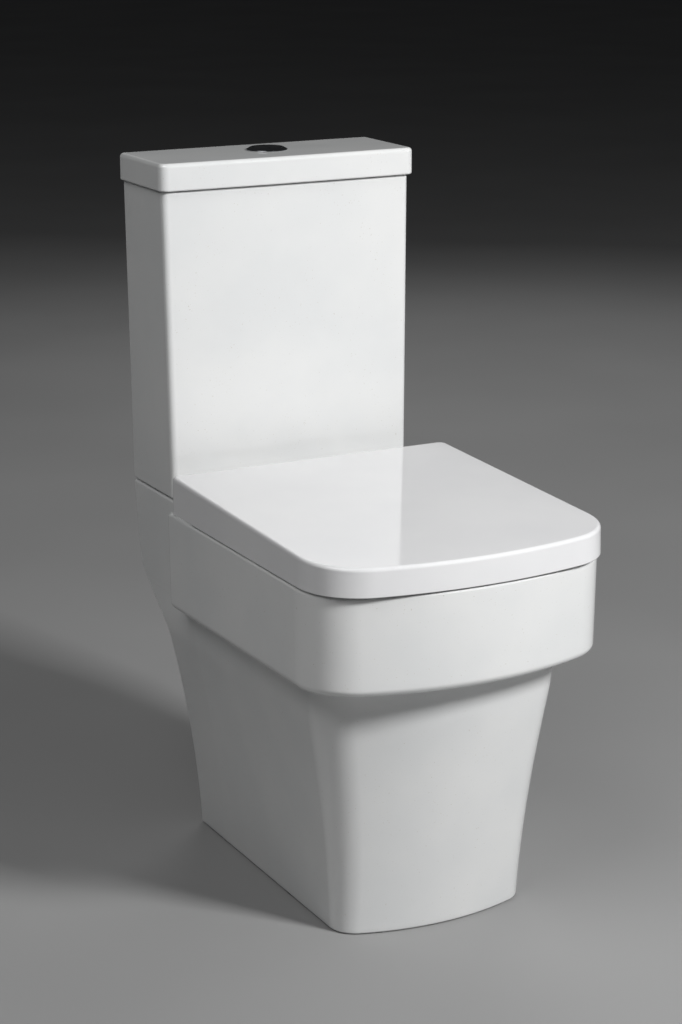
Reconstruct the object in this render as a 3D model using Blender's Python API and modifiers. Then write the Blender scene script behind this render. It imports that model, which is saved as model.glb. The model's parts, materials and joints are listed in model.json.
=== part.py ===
"""Close coupled toilet: pan, cistern, seat and the flushing parts inside, each piece its own solid.

Metres, +Z up. The front faces -Y, the back meets the wall at +Y, and the origin is on the floor
under the middle of the bounding box. Depths are written as distances from the wall.
"""
import math
from collections import namedtuple

import bmesh
import bpy
from mathutils import Vector

# ---- driving dimensions -------------------------------------------------------------------------
PROJECTION = 0.5984            # wall to the front of the seat cover
WALL = PROJECTION / 2          # the wall plane, in Y
GAP = 0.0003                   # between pieces that touch

# pan
CHINA = 0.010                  # wall thickness of the castings
RIM_TOP = 0.4305
DECK_UNDER = RIM_TOP - 0.018
APRON_BOTTOM = 0.3152
APRON_CLIMB = 0.015            # its lower edge climbs this much per metre forwards
APRON_LEVEL = 0.46             # the depth where that edge is at APRON_BOTTOM
APRON_HALF = 0.187
APRON_BACK = 0.1645
APRON_FRONT = 0.5972
FOOT_HALF = 0.1224
FOOT_FRONT = 0.5085
FOOT_BACK = 0.105
PEDESTAL_TAPER = 0.18          # its front narrows by this share per metre of height
# how the foot grows with height: a share of z, then of z squared
FOOT_FLARE = (0.051, 0.347)
FOOT_RAKE = (0.10, 0.156)
FOOT_CORNER = (0.034, 0.08)    # on the floor, then per metre of height
FOOT_BULGE = (0.30, 0.1)
BLOCK_HALF = 0.1603            # the block under the cistern is flush with it
BACK_KNEE = 0.332              # the height where the back edge turns in from the wall to the foot
BACK_KNEE_DEPTH = 0.0193
BACK_SLOPE = 1.15
OPEN_BACK = 0.13               # the casting has no back wall nearer the wall than this
BOWL_HALF = 0.121
BOWL_BACK = 0.248
BOWL_FRONT = 0.560
SUMP_TOP = 0.165
SUMP_FLOOR = 0.118
SUMP_HALF = 0.048
SUMP_BACK = 0.280
SUMP_FRONT = 0.385
TRAP_BORE = 0.034
SPIGOT_HEIGHT = 0.180
SPIGOT_END = 0.030             # its end face, from the wall
SPIGOT_RADIUS = 0.051
INLET_BORE = 0.024
PIPE_WALL = 0.009              # china round the trap and the flush duct

# cistern and lid
CISTERN_BOTTOM = 0.4325
CISTERN_TOP = 0.8045
CISTERN_HALF_TOP = 0.1647
CISTERN_DEPTH_TOP = 0.1228
CISTERN_DEPTH_BOTTOM = 0.1264
CISTERN_CORNER = 0.007
CISTERN_FLOOR = CISTERN_BOTTOM + CHINA
PLINTH_HALF = 0.090            # the raised floor over the recess for the flush valve's nut
PLINTH_TOP = 0.4625
LID_BOTTOM = 0.8062
LID_TOP = 0.8388
LID_HALF = 0.1697
LID_DEPTH = 0.1309
LID_CORNER = 0.016
VALVE_DEPTH = 0.0615           # button, flush valve and fill valve all stand at this depth
FILL_X = 0.114
COUPLING_X = 0.066

# seat
HINGE_DEPTH = 0.190
HINGE_HEIGHT = 0.456
HINGE_X = 0.078                # half the spacing of the seat's fixing holes
COVER_HALF = 0.1864
COVER_BACK = 0.174
COVER_FRONT = PROJECTION
COVER_BOTTOM = 0.4325
COVER_TOP_BACK = 0.4775        # at the back edge
COVER_SLOPE = 0.0300           # the top falls this much per metre towards the front
COVER_SHELL = 0.004
RING_HALF = 0.1795
RING_BACK = 0.202
RING_FRONT = 0.5915
RING_BOTTOM = 0.436
RING_TOP = 0.453
RING_HOLE_HALF = 0.115
RING_HOLE_BACK = 0.262
RING_HOLE_FRONT = 0.532
LUG_RADIUS = 0.009
LUG_BORE = 0.0065
PIN_RADIUS = 0.0041

# flush button
BUTTON_RADIUS = 0.0184
BUTTON_SPLIT = -0.0036         # the line between the half flush and full flush buttons, in X
BUTTON_EDGE = 0.0038           # heights of the domed buttons above the lid
BUTTON_CROWN = 0.0053
HOUSING_RADIUS = 0.0215
HOUSING_BOTTOM = 0.780
BUTTON_FOOT = 0.800
BEZEL_RADIUS = 0.0252

# colour, roughness, metallic
FINISHES = {
    "china": ((0.86, 0.87, 0.87), 0.10, 0.0),
    "seat": ((0.87, 0.87, 0.88), 0.18, 0.0),
    "chrome": ((0.72, 0.73, 0.75), 0.08, 1.0),
    "steel": ((0.60, 0.60, 0.62), 0.30, 1.0),
    "brass": ((0.78, 0.60, 0.30), 0.30, 1.0),
    "rubber": ((0.03, 0.03, 0.03), 0.70, 0.0),
    "white_plastic": ((0.82, 0.83, 0.83), 0.35, 0.0),
    "grey_plastic": ((0.36, 0.38, 0.40), 0.40, 0.0),
    "blue_plastic": ((0.10, 0.25, 0.55), 0.40, 0.0),
    "clear_rubber": ((0.70, 0.71, 0.72), 0.45, 0.0),
}

Plan = namedtuple("Plan", "half back front corner bulge back_corner")


# ---- scene --------------------------------------------------------------------------------------
def clear_scene():
    for item in list(bpy.data.objects):
        bpy.data.objects.remove(item, do_unlink=True)
    for group in list(bpy.data.collections):
        bpy.data.collections.remove(group)


def new_collection(name):
    group = bpy.data.collections.new(name)
    bpy.context.scene.collection.children.link(group)
    return group


def at(x, depth, z):
    """A point, its depth measured from the wall."""
    return Vector((x, WALL - depth, z))


def add_object(name, mesh, finish, location=(0, 0, 0)):
    """A piece of the toilet when it has a finish, otherwise a hidden cutter or joined shape."""
    item = bpy.data.objects.new(name, mesh)
    item.location = location
    if finish:
        colour, roughness, metallic = FINISHES[finish]
        material = bpy.data.materials.new(name)
        material.use_nodes = True
        shader = material.node_tree.nodes["Principled BSDF"]
        shader.inputs["Base Color"].default_value = (*colour, 1)
        shader.inputs["Roughness"].default_value = roughness
        shader.inputs["Metallic"].default_value = metallic
        mesh.materials.append(material)
        PARTS.objects.link(item)
    else:
        CUTTERS.objects.link(item)
        item.hide_render = True
        item.display_type = "WIRE"
    return item


def mesh_from(bm, name):
    bmesh.ops.recalc_face_normals(bm, faces=bm.faces)
    mesh = bpy.data.meshes.new(name)
    bm.to_mesh(mesh)
    bm.free()
    mesh.shade_smooth()
    mesh.set_sharp_from_angle(angle=math.radians(35))
    return mesh


def boolean(item, other, operation):
    modifier = item.modifiers.new(other.name, "BOOLEAN")
    modifier.operation = operation
    modifier.object = other


def cut(item, *others):
    for other in others:
        boolean(item, other, "DIFFERENCE")


def join(item, *others):
    for other in others:
        boolean(item, other, "UNION")


# ---- shapes -------------------------------------------------------------------------------------
def box(name, finish, low, high):
    """A box between two corners, each given as x, depth and z."""
    a, b = at(*low), at(*high)
    bm = bmesh.new()
    bmesh.ops.create_cube(bm, size=1)
    size = [abs(p - q) for p, q in zip(a, b)]
    bmesh.ops.scale(bm, vec=size, verts=bm.verts)
    return add_object(name, mesh_from(bm, name), finish, (a + b) / 2)


def cylinder(name, finish, radius, low, high, sides=24):
    """A cylinder between the centres of its two ends, each given as x, depth and z."""
    a, b = at(*low), at(*high)
    bm = bmesh.new()
    bmesh.ops.create_cone(
        bm, cap_ends=True, segments=sides, radius1=radius, radius2=radius, depth=(b - a).length
    )
    turn = (b - a).to_track_quat("Z", "Y").to_matrix()
    bmesh.ops.rotate(bm, cent=(0, 0, 0), matrix=turn, verts=bm.verts)
    return add_object(name, mesh_from(bm, name), finish, (a + b) / 2)


def turned(name, finish, x, depth, base, profile, steps=24, closed=True):
    """A profile of radius and height above base, turned round a vertical axis."""
    mesh = bpy.data.meshes.new(name)
    count = len(profile)
    edges = [(i, (i + 1) % count) for i in range(count if closed else count - 1)]
    mesh.from_pydata([(radius, 0, height) for radius, height in profile], edges, [])
    item = add_object(name, mesh, finish, at(x, depth, base))
    screw = item.modifiers.new("turn", "SCREW")
    screw.axis = "Z"
    screw.steps = steps
    screw.render_steps = steps
    screw.use_merge_vertices = True
    screw.merge_threshold = 0.00001
    screw.use_smooth_shade = True
    return item


def tube(name, finish, x, depth, base, outer, inner, height, steps=24):
    profile = [(outer, height), (outer, 0), (inner, 0), (inner, height)]
    return turned(name, finish, x, depth, base, profile, steps)


def side_prism(name, finish, outline, low_x, high_x):
    """An outline of depth and height, extruded along X."""
    bm = bmesh.new()
    face = bm.faces.new([bm.verts.new(at(low_x, depth, z)) for depth, z in outline])
    pushed = bmesh.ops.extrude_face_region(bm, geom=[face])["geom"]
    moved = [v for v in pushed if isinstance(v, bmesh.types.BMVert)]
    bmesh.ops.translate(bm, verts=moved, vec=(high_x - low_x, 0, 0))
    return add_object(name, mesh_from(bm, name), finish)


def arc(centre, radius, start, end, steps):
    """Points on an arc, its angles in degrees, both ends included."""
    angles = [math.radians(start + (end - start) * i / steps) for i in range(steps + 1)]
    return [(centre[0] + radius * math.cos(a), centre[1] + radius * math.sin(a)) for a in angles]


def inset(plan, amount):
    """The plan drawn in by an amount all round."""
    return Plan(
        plan.half - amount,
        plan.back + amount,
        plan.front - amount,
        max(plan.corner - amount, 0.002),
        plan.bulge - amount,
        max(plan.back_corner - amount, 0.001),
    )


def plan_points(plan, corner_steps=6, front_steps=5, back_steps=3):
    """A closed outline in x and depth: straight sides, a bowed front and rounded corners."""
    bulge_centre = plan.front - plan.bulge
    reach = math.sqrt((plan.bulge - plan.corner) ** 2 - (plan.half - plan.corner) ** 2)
    corner_centre = (plan.half - plan.corner, bulge_centre + reach)
    meet = math.degrees(math.atan2(reach, plan.half - plan.corner))
    back_centre = (plan.half - plan.back_corner, plan.back + plan.back_corner)
    half = arc(back_centre, plan.back_corner, -90, 0, back_steps)
    half += arc(corner_centre, plan.corner, 0, meet, corner_steps)
    half += arc((0, bulge_centre), plan.bulge, meet, 90, front_steps)[1:-1]
    return half + [(0, plan.front)] + [(-x, depth) for x, depth in reversed(half)]


def oval_points(half, back, front, count=32, squareness=2.3):
    """A closed oval in x and depth, a little squarer than an ellipse."""
    centre = (back + front) / 2
    points = []
    for i in range(count):
        angle = 2 * math.pi * i / count
        c, s = math.cos(angle), math.sin(angle)
        x = half * math.copysign(abs(c) ** (2 / squareness), c)
        depth = (front - back) / 2 * math.copysign(abs(s) ** (2 / squareness), s)
        points.append((x, centre + depth))
    return points


def loft(name, finish, rings):
    """A closed solid through rings of points, all with the same number of points."""
    bm = bmesh.new()
    rows = [[bm.verts.new(point) for point in ring] for ring in rings]
    count = len(rows[0])
    for low, high in zip(rows, rows[1:]):
        for i in range(count):
            j = (i + 1) % count
            bm.faces.new((low[i], low[j], high[j], high[i]))
    bm.faces.new(rows[0])
    bm.faces.new(rows[-1])
    return add_object(name, mesh_from(bm, name), finish)


def ring_at(points, height):
    """Outline points raised to a height, which may be a function of the depth."""
    level = height if callable(height) else lambda depth: height
    return [at(x, depth, level(depth)) for x, depth in points]


def rounded_levels(low, high, low_radius, high_radius, steps=3):
    """Pairs of inset and height up a wall whose bottom and top edges are rounded."""
    levels = []
    for i in range(steps + 1):
        angle = math.pi / 2 * i / steps
        levels.append((low_radius * (1 - math.sin(angle)), low + low_radius * (1 - math.cos(angle))))
    for i in range(steps + 1):
        angle = math.pi / 2 * i / steps
        levels.append((high_radius * (1 - math.cos(angle)), high - high_radius * (1 - math.sin(angle))))
    return levels


def swept_pipe(name, radius, path, points=20, finish=None):
    """A round bar along a smooth path in the plane x = 0, as a mesh ready for a Boolean."""
    curve = bpy.data.curves.new(name, "CURVE")
    curve.dimensions = "3D"
    curve.bevel_depth = radius
    curve.bevel_resolution = 5
    curve.use_fill_caps = True
    smooth = smooth_path(path, points)
    spline = curve.splines.new("POLY")
    spline.points.add(len(smooth) - 1)
    for point, (depth, z) in zip(spline.points, smooth):
        point.co = (*at(0, depth, z), 1)
    source = bpy.data.objects.new(name + "_curve", curve)
    CUTTERS.objects.link(source)
    graph = bpy.context.evaluated_depsgraph_get()
    mesh = bpy.data.meshes.new_from_object(source.evaluated_get(graph))
    bm = bmesh.new()
    bm.from_mesh(mesh)
    bmesh.ops.remove_doubles(bm, verts=bm.verts, dist=0.00001)
    bpy.data.objects.remove(source)
    return add_object(name, mesh_from(bm, name), finish)


def smooth_path(path, count):
    """Points evenly spread in parameter along a Catmull-Rom curve through the path."""
    ends = [path[0]] + list(path) + [path[-1]]
    spans = len(path) - 1
    result = []
    for i in range(count + 1):
        span = min(int(i * spans / count), spans - 1)
        t = i * spans / count - span
        a, b, c, d = [Vector(p) for p in ends[span:span + 4]]
        cubic = 2 * b + (c - a) * t + (2 * a - 5 * b + 4 * c - d) * t**2
        result.append(tuple((cubic + (3 * b - a - 3 * c + d) * t**3) / 2))
    return result


# ---- pan ----------------------------------------------------------------------------------------
def smooth_least(a, b, softness):
    return (a + b - math.hypot(a - b, softness)) / 2


def back_edge(z):
    """Depth of the skirt's back edge: upright at the foot, then sloping out to the wall."""
    foot = FOOT_BACK - 0.03 * z
    slope = BACK_KNEE_DEPTH + (BACK_KNEE - z) * BACK_SLOPE
    block = (RIM_TOP - z) * 0.17
    return -smooth_least(-smooth_least(foot, slope, 0.013), -block, 0.004)


def pedestal_plan(z):
    """The foot flares upwards, and its back edge sweeps out to the wall under the cistern."""
    return Plan(
        half=smooth_least(FOOT_HALF + FOOT_FLARE[0] * z + FOOT_FLARE[1] * z * z, BLOCK_HALF, 0.003),
        back=max(back_edge(z), 0),
        front=FOOT_FRONT + FOOT_RAKE[0] * z + FOOT_RAKE[1] * z * z,
        corner=FOOT_CORNER[0] + FOOT_CORNER[1] * z,
        bulge=FOOT_BULGE[0] + FOOT_BULGE[1] * z,
        back_corner=0.004,
    )


def pedestal_points(z, inwards=0.0, *counts):
    """A level of the pedestal, which is as wide as the block at its back and tapers forwards."""
    plan = pedestal_plan(z)
    points = []
    for x, depth in plan_points(inset(plan, inwards), *counts):
        share = (depth - plan.back) / (plan.front - plan.back)
        points.append((x * (1 - PEDESTAL_TAPER * z * share * share), depth))
    return points


APRON_PLAN = Plan(APRON_HALF, APRON_BACK, APRON_FRONT, 0.073, 0.402, 0.006)


def bowl_ring(z, wall):
    """A level of the bowl: wide at the rim, drawn in to the sump; wall is added all round."""
    fall = max((RIM_TOP - z) / (RIM_TOP - SUMP_TOP), 0)
    if z < SUMP_TOP:
        round_in = math.sqrt(max(1 - ((SUMP_TOP - z) / (SUMP_TOP - SUMP_FLOOR)) ** 2, 0.02))
        middle = (SUMP_BACK + SUMP_FRONT) / 2
        reach = (SUMP_FRONT - SUMP_BACK) / 2 * round_in
        half, back, front = SUMP_HALF * round_in, middle - reach, middle + reach
    else:
        half = SUMP_HALF + (BOWL_HALF - SUMP_HALF) * (1 - fall**1.9)
        back = SUMP_BACK + (BOWL_BACK - SUMP_BACK) * (1 - fall**2)
        front = SUMP_FRONT + (BOWL_FRONT - SUMP_FRONT) * (1 - fall**1.3)
    return half + wall, back - wall, front + wall


def bowl_solid(name, wall, top, finish=None):
    """The bowl as a solid, its own shape grown by a wall thickness."""
    heights = [RIM_TOP, 0.405, 0.375, 0.34, 0.30, 0.26, 0.225, 0.19, SUMP_TOP, 0.14, 0.126, SUMP_FLOOR]
    if top > RIM_TOP:
        heights.insert(0, top)
    rings = []
    for z in heights:
        lift = -wall if z < SUMP_TOP else 0
        rings.append(ring_at(oval_points(*bowl_ring(z, wall)), z + lift))
    if wall == 0:
        half, back, front = bowl_ring(top, 0.004)
        rings[0] = ring_at(oval_points(*bowl_ring(top - 0.005, 0)), top - 0.005)
        rings.insert(0, ring_at(oval_points(half, back, front), top + 0.001))
    return loft(name, finish, rings)


TRAP_PATH = [
    (0.335, 0.175), (0.300, 0.128), (0.262, 0.112), (0.226, 0.132), (0.203, 0.180),
    (0.180, 0.222), (0.145, 0.226), (0.112, 0.194), (0.085, SPIGOT_HEIGHT),
]
INLET_PATH = [
    (VALVE_DEPTH, 0.424), (VALVE_DEPTH, 0.402), (0.082, 0.376), (0.125, 0.364), (0.19, 0.370),
    (0.262, 0.380),
]


def make_skirt():
    """The outside of the casting with its apron and deck, open below and behind."""
    heights = (0.06, 0.12, 0.17, 0.21, 0.24, 0.265, 0.285, 0.3, 0.315, 0.33, 0.35, 0.38, RIM_TOP)
    levels = [(0.0025, 0.0), (0.0, 0.0035)] + [(0.0, z) for z in heights]
    pan = loft("pan", "china", [ring_at(pedestal_points(z, i), z) for i, z in levels])

    rings = []
    for i, z in rounded_levels(APRON_BOTTOM, RIM_TOP, 0.008, 0.003):
        climb = APRON_CLIMB if z < (APRON_BOTTOM + RIM_TOP) / 2 else 0
        outline = plan_points(inset(APRON_PLAN, i))
        rings.append(ring_at(outline, lambda depth, c=climb, h=z: h + c * (depth - APRON_LEVEL)))
    apron = loft("pan_apron", None, rings)

    rings = []
    for z in (0, 0.1, 0.2, 0.26, 0.3, DECK_UNDER):
        points = pedestal_points(z, CHINA, 5, 4, 1)
        # its back is carried out past the wall and its foot below the floor, so both stay open
        points = [(x, depth if depth > OPEN_BACK else -0.03) for x, depth in points]
        rings.append(ring_at(points, z or -0.02))
    hollow = loft("pan_hollow", None, rings)
    plan = inset(APRON_PLAN, CHINA)
    levels = (APRON_BOTTOM + CHINA + 0.006, DECK_UNDER - 0.0005)
    apron_hollow = loft("pan_apron_hollow", None, [ring_at(plan_points(plan, 5, 4), z) for z in levels])
    join(pan, apron)
    cut(
        pan,
        hollow,
        apron_hollow,
        bowl_solid("bowl_way", CHINA + GAP, RIM_TOP + 0.004),
        cylinder("inlet_way", None, INLET_BORE, (0, VALVE_DEPTH, 0.40), (0, VALVE_DEPTH, 0.45), 32),
        cylinder("gasket_seat", None, 0.044, (0, VALVE_DEPTH, 0.4205), (0, VALVE_DEPTH, 0.45), 32),
    )
    for side in (-1, 1):
        x = side * COUPLING_X
        cut(pan, cylinder("coupling_hole", None, 0.006, (x, VALVE_DEPTH, 0.40), (x, VALVE_DEPTH, 0.45), 12))
        x = side * HINGE_X
        cut(pan, cylinder("seat_hole", None, 0.007, (x, HINGE_DEPTH, 0.40), (x, HINGE_DEPTH, 0.45), 12))
        x = side * FILL_X
        cut(pan, cylinder("inlet_nut_hole", None, 0.022, (x, VALVE_DEPTH, 0.40), (x, VALVE_DEPTH, 0.45), 20))
        foot = box("foot_flange", None, (side * 0.080, 0.128, 0.0005), (side * 0.116, 0.168, 0.018))
        join(pan, foot)
        x = side * 0.096
        cut(pan, cylinder("floor_hole", None, 0.0065, (x, 0.148, -0.01), (x, 0.148, 0.03), 12))


def make_bowl():
    """The bowl, the trap behind it and the duct that brings the flush water."""
    bowl = bowl_solid("pan_bowl", CHINA, RIM_TOP, "china")
    trap_path = TRAP_PATH + [(SPIGOT_END, SPIGOT_HEIGHT)]
    trap = swept_pipe("pan_trap", TRAP_BORE + PIPE_WALL, trap_path, finish="china")
    ends = ((0, 0.072, SPIGOT_HEIGHT), (0, SPIGOT_END, SPIGOT_HEIGHT))
    join(trap, cylinder("spigot", None, SPIGOT_RADIUS, *ends, 32))
    duct = swept_pipe("pan_flush_duct", INLET_BORE + PIPE_WALL, INLET_PATH, points=12, finish="china")
    around = bowl_solid("bowl_around", CHINA + GAP, RIM_TOP)
    deck = box("deck_clearance", None, (-0.05, 0.01, DECK_UNDER - GAP), (0.05, 0.13, 0.50))
    trap_bore_path = TRAP_PATH + [(SPIGOT_END - 0.01, SPIGOT_HEIGHT)]
    trap_bore = swept_pipe("trap_bore", TRAP_BORE, trap_bore_path)
    inlet_bore_path = [(VALVE_DEPTH, 0.45)] + INLET_PATH[1:-1] + [(0.275, 0.381)]
    inlet_bore = swept_pipe("inlet_bore", INLET_BORE, inlet_bore_path, points=13)
    cut(bowl, bowl_solid("bowl_inside", 0, RIM_TOP), trap_bore, inlet_bore)
    cut(trap, around, trap_bore)
    cut(duct, around, deck, inlet_bore)


# ---- cistern ------------------------------------------------------------------------------------
def cistern_plan(z):
    """The cistern widens a little upwards while its front stays nearly upright."""
    rise = (z - CISTERN_BOTTOM) / (CISTERN_TOP - CISTERN_BOTTOM)
    return Plan(
        half=BLOCK_HALF + (CISTERN_HALF_TOP - BLOCK_HALF) * rise,
        back=0.0004,
        front=CISTERN_DEPTH_BOTTOM + (CISTERN_DEPTH_TOP - CISTERN_DEPTH_BOTTOM) * rise,
        corner=CISTERN_CORNER,
        bulge=6.0,
        back_corner=0.005,
    )


def make_cistern():
    """The tank: open top, raised floor over the recess for the nut and gasket, holes for fittings."""
    levels = rounded_levels(CISTERN_BOTTOM, CISTERN_TOP, 0.003, 0.002, 2)
    rings = [ring_at(plan_points(inset(cistern_plan(z), i), 4, 2), z) for i, z in levels]
    cistern = loft("cistern", "china", rings)
    levels = (CISTERN_FLOOR, CISTERN_TOP + 0.01)
    rings = [ring_at(plan_points(inset(cistern_plan(z), CHINA), 3, 2), z) for z in levels]
    cut(cistern, loft("cistern_inside", None, rings))
    join(cistern, box("plinth", None, (-PLINTH_HALF, 0.006, 0.438), (PLINTH_HALF, 0.1165, PLINTH_TOP)))
    recess = box("recess", None, (-0.080, 0.014, 0.42), (0.080, 0.109, PLINTH_TOP - CHINA))
    cut(cistern, recess)
    low, high = 0.42, 0.48
    hole = ((0, VALVE_DEPTH, low), (0, VALVE_DEPTH, high))
    cut(cistern, cylinder("valve_hole", None, 0.0305, *hole, 32))
    for side in (-1, 1):
        x = side * COUPLING_X
        cut(cistern, cylinder("bolt_hole", None, 0.0055, (x, VALVE_DEPTH, low), (x, VALVE_DEPTH, high), 12))
        x = side * FILL_X
        cut(cistern, cylinder("side_hole", None, 0.0125, (x, VALVE_DEPTH, low), (x, VALVE_DEPTH, high), 16))
        x = side * 0.100
        cut(cistern, cylinder("wall_hole", None, 0.004, (x, -0.01, 0.765), (x, 0.03, 0.765), 12))


def make_lid():
    """The lid: a hollow cover with softened edges and one hole for the button."""
    plan = Plan(LID_HALF, 0.0, LID_DEPTH, LID_CORNER, 6.0, 0.006)
    levels = rounded_levels(LID_BOTTOM, LID_TOP, 0.002, 0.005)
    rings = [ring_at(plan_points(inset(plan, i), 4, 2), z) for i, z in levels]
    lid = loft("cistern_lid", "china", rings)
    inside = inset(plan, 0.014)
    rings = [ring_at(plan_points(inside, 2, 2), z) for z in (LID_BOTTOM - 0.01, LID_TOP - CHINA)]
    cut(lid, loft("lid_inside", None, rings))
    cut(lid, cylinder("button_hole", None, 0.0222, (0, VALVE_DEPTH, 0.80), (0, VALVE_DEPTH, 0.85), 32))


def make_flush_button():
    """Chrome bezel and two buttons in a threaded housing, clamped under the lid."""
    middle = (0, VALVE_DEPTH)
    bezel = [
        (0.0200, 0.0036), (0.0225, 0.0024), (BEZEL_RADIUS, 0.0011), (BEZEL_RADIUS, 0),
        (0.0194, 0), (0.0194, 0.0033),
    ]
    turned("button_bezel", "chrome", *middle, LID_TOP + GAP, bezel, 32)
    housing = ("white_plastic", *middle, HOUSING_BOTTOM)
    tube("button_housing", *housing, HOUSING_RADIUS, 0.0194, LID_TOP - HOUSING_BOTTOM, 32)
    top = LID_TOP - CHINA - GAP
    tube("button_clamp_nut", "white_plastic", *middle, top - 0.008, 0.030, 0.0229, 0.008, 12)
    foot, crown, edge = BUTTON_FOOT, LID_TOP + BUTTON_CROWN, LID_TOP + BUTTON_EDGE
    dome = [
        (0, crown - foot), (0.0065, crown - foot - 0.0002), (0.0125, crown - foot - 0.0007),
        (BUTTON_RADIUS - 0.0010, edge - foot), (BUTTON_RADIUS, edge - foot - 0.0010),
        (BUTTON_RADIUS, 0), (0, 0),
    ]
    for name, side in (("full_flush_button", 1), ("half_flush_button", -1)):
        button = turned(name, "chrome", *middle, foot, dome, 32, closed=False)
        split = BUTTON_SPLIT + side * 0.0004
        corner = (split - side * 0.05, VALVE_DEPTH + 0.03, 0.86)
        cut(button, box(name + "_split", None, (split, VALVE_DEPTH - 0.03, 0.79), corner))
    top = BUTTON_FOOT - GAP
    for name, x in (("full_push_rod", 0.0085), ("half_push_rod", -0.0110)):
        cylinder(name, "white_plastic", 0.003, (x, VALVE_DEPTH, 0.715), (x, VALVE_DEPTH, top), 12)


def make_flush_valve():
    """Outlet valve: threaded tail, cage and cap, with a piston that lifts off its seat."""
    middle = (0, VALVE_DEPTH)
    tail_end, flange = 0.4215, PLINTH_TOP + 0.0036
    base = [
        (0.0275, 0.0565), (0.0275, 0.0476), (0.0400, 0.0476), (0.0400, flange - tail_end),
        (0.0295, flange - tail_end), (0.0295, 0), (0.0235, 0), (0.0235, 0.0565),
    ]
    turned("flush_valve_base", "white_plastic", *middle, tail_end, base, 28)
    tube("flush_valve_washer", "rubber", *middle, PLINTH_TOP + GAP, 0.039, 0.0305, 0.003, 24)
    tube("flush_valve_back_nut", "grey_plastic", *middle, 0.4402, 0.042, 0.0335, 0.0118, 8)
    gasket = [
        (0.0400, 0.0191), (0.0430, 0.0160), (0.0430, 0.0030), (0.0380, 0.0), (0.0302, 0.0),
        (0.0302, 0.0191),
    ]
    turned("coupling_gasket", "rubber", *middle, 0.4208, gasket, 28)

    cage_base = tail_end + 0.0476 + GAP
    cage = ("white_plastic", *middle, cage_base, 0.0385, 0.0355, 0.690 - cage_base, 24)
    cage = tube("flush_valve_cage", *cage)
    for low, high in (((-0.05, 0.0515), (0.05, 0.0715)), ((-0.010, 0.0), (0.010, 0.12))):
        cut(cage, box("cage_window", None, (*low, 0.484), (*high, 0.530)))
    cap = [(0, 0.037), (0.030, 0.037), (0.0385, 0.030), (0.0385, 0), (0, 0)]
    cap = turned("flush_valve_cap", "blue_plastic", *middle, 0.690 + GAP, cap, 24, closed=False)
    for x in (0.0085, -0.0110):
        ends = ((x, VALVE_DEPTH, 0.702), (x, VALVE_DEPTH, 0.74))
        cut(cap, cylinder("rod_socket", None, 0.0045, *ends, 12))

    seal_base = tail_end + 0.0565 + GAP
    tube("flush_valve_seal", "rubber", *middle, seal_base, 0.0270, 0.0125, 0.003, 24)
    piston_base = seal_base + 0.003 + GAP
    piston = [
        (0.0160, 0.168), (0.0160, 0.003), (0.0265, 0.003), (0.0265, 0), (0.0120, 0), (0.0120, 0.168),
    ]
    turned("flush_valve_piston", "grey_plastic", *middle, piston_base, piston, 20)


def make_fill_valve():
    """Bottom entry inlet valve: shank and stem, head, and a float that works a small lever."""
    place = (FILL_X, VALVE_DEPTH)
    tail_end = 0.385
    body = [
        (0.0105, 0.305), (0.0105, 0.0641), (0.0165, 0.0641), (0.0165, 0.0611), (0.0105, 0.0611),
        (0.0105, 0), (0.0050, 0), (0.0050, 0.305),
    ]
    turned("fill_valve_body", "white_plastic", *place, tail_end, body, 16)
    tube("fill_valve_washer", "rubber", *place, CISTERN_FLOOR + GAP, 0.0165, 0.0112, 0.003, 16)
    tube("fill_valve_back_nut", "white_plastic", *place, 0.4200, 0.0185, 0.0128, 0.0122, 6)
    head = [(0, 0.032), (0.008, 0.032), (0.008, 0.010), (0.017, 0.010), (0.017, 0), (0, 0)]
    head = turned("fill_valve_head", "grey_plastic", *place, 0.690 + GAP, head, 16, closed=False)
    pivot = 0.716
    pin = 0.0015
    hole = ((FILL_X, 0.04, pivot), (FILL_X, 0.08, pivot))
    cut(head, cylinder("pin_hole", None, pin + 0.0005, *hole, 12))
    cylinder("lever_pin", "steel", pin, (FILL_X, 0.0445, pivot), (FILL_X, 0.0690, pivot), 10)
    lever_depth = VALVE_DEPTH - 0.0125
    low = (FILL_X - 0.028, lever_depth - 0.002, pivot - 0.0035)
    high = (FILL_X + 0.006, lever_depth + 0.002, pivot + 0.0035)
    lever = box("float_lever", "grey_plastic", low, high)
    hole = ((FILL_X, 0.04, pivot), (FILL_X, 0.08, pivot))
    cut(lever, cylinder("lever_hole", None, pin + 0.0005, *hole, 12))
    rod_foot = 0.655 + GAP
    rod = ((FILL_X - 0.023, lever_depth, rod_foot), (FILL_X - 0.023, lever_depth, 0.7110))
    cylinder("float_rod", "steel", 0.0015, *rod, 10)
    cup = [
        (0.028, 0.050), (0.028, 0), (0.0255, 0), (0.0255, 0.047), (0.0155, 0.047), (0.0155, 0),
        (0.0125, 0), (0.0125, 0.050),
    ]
    turned("fill_valve_float", "blue_plastic", *place, 0.605, cup, 20)

    place = (-FILL_X, VALVE_DEPTH)
    plug = [
        (0, 0.0320), (0.0165, 0.0320), (0.0165, 0.0281), (0.0105, 0.0281), (0.0105, 0), (0, 0),
    ]
    turned("blanking_plug", "white_plastic", *place, 0.418, plug, 16, closed=False)
    tube("blanking_plug_washer", "rubber", *place, CISTERN_FLOOR + GAP, 0.0165, 0.0112, 0.003, 16)
    tube("blanking_plug_nut", "white_plastic", *place, 0.4200, 0.0185, 0.0128, 0.0122, 6)


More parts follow.
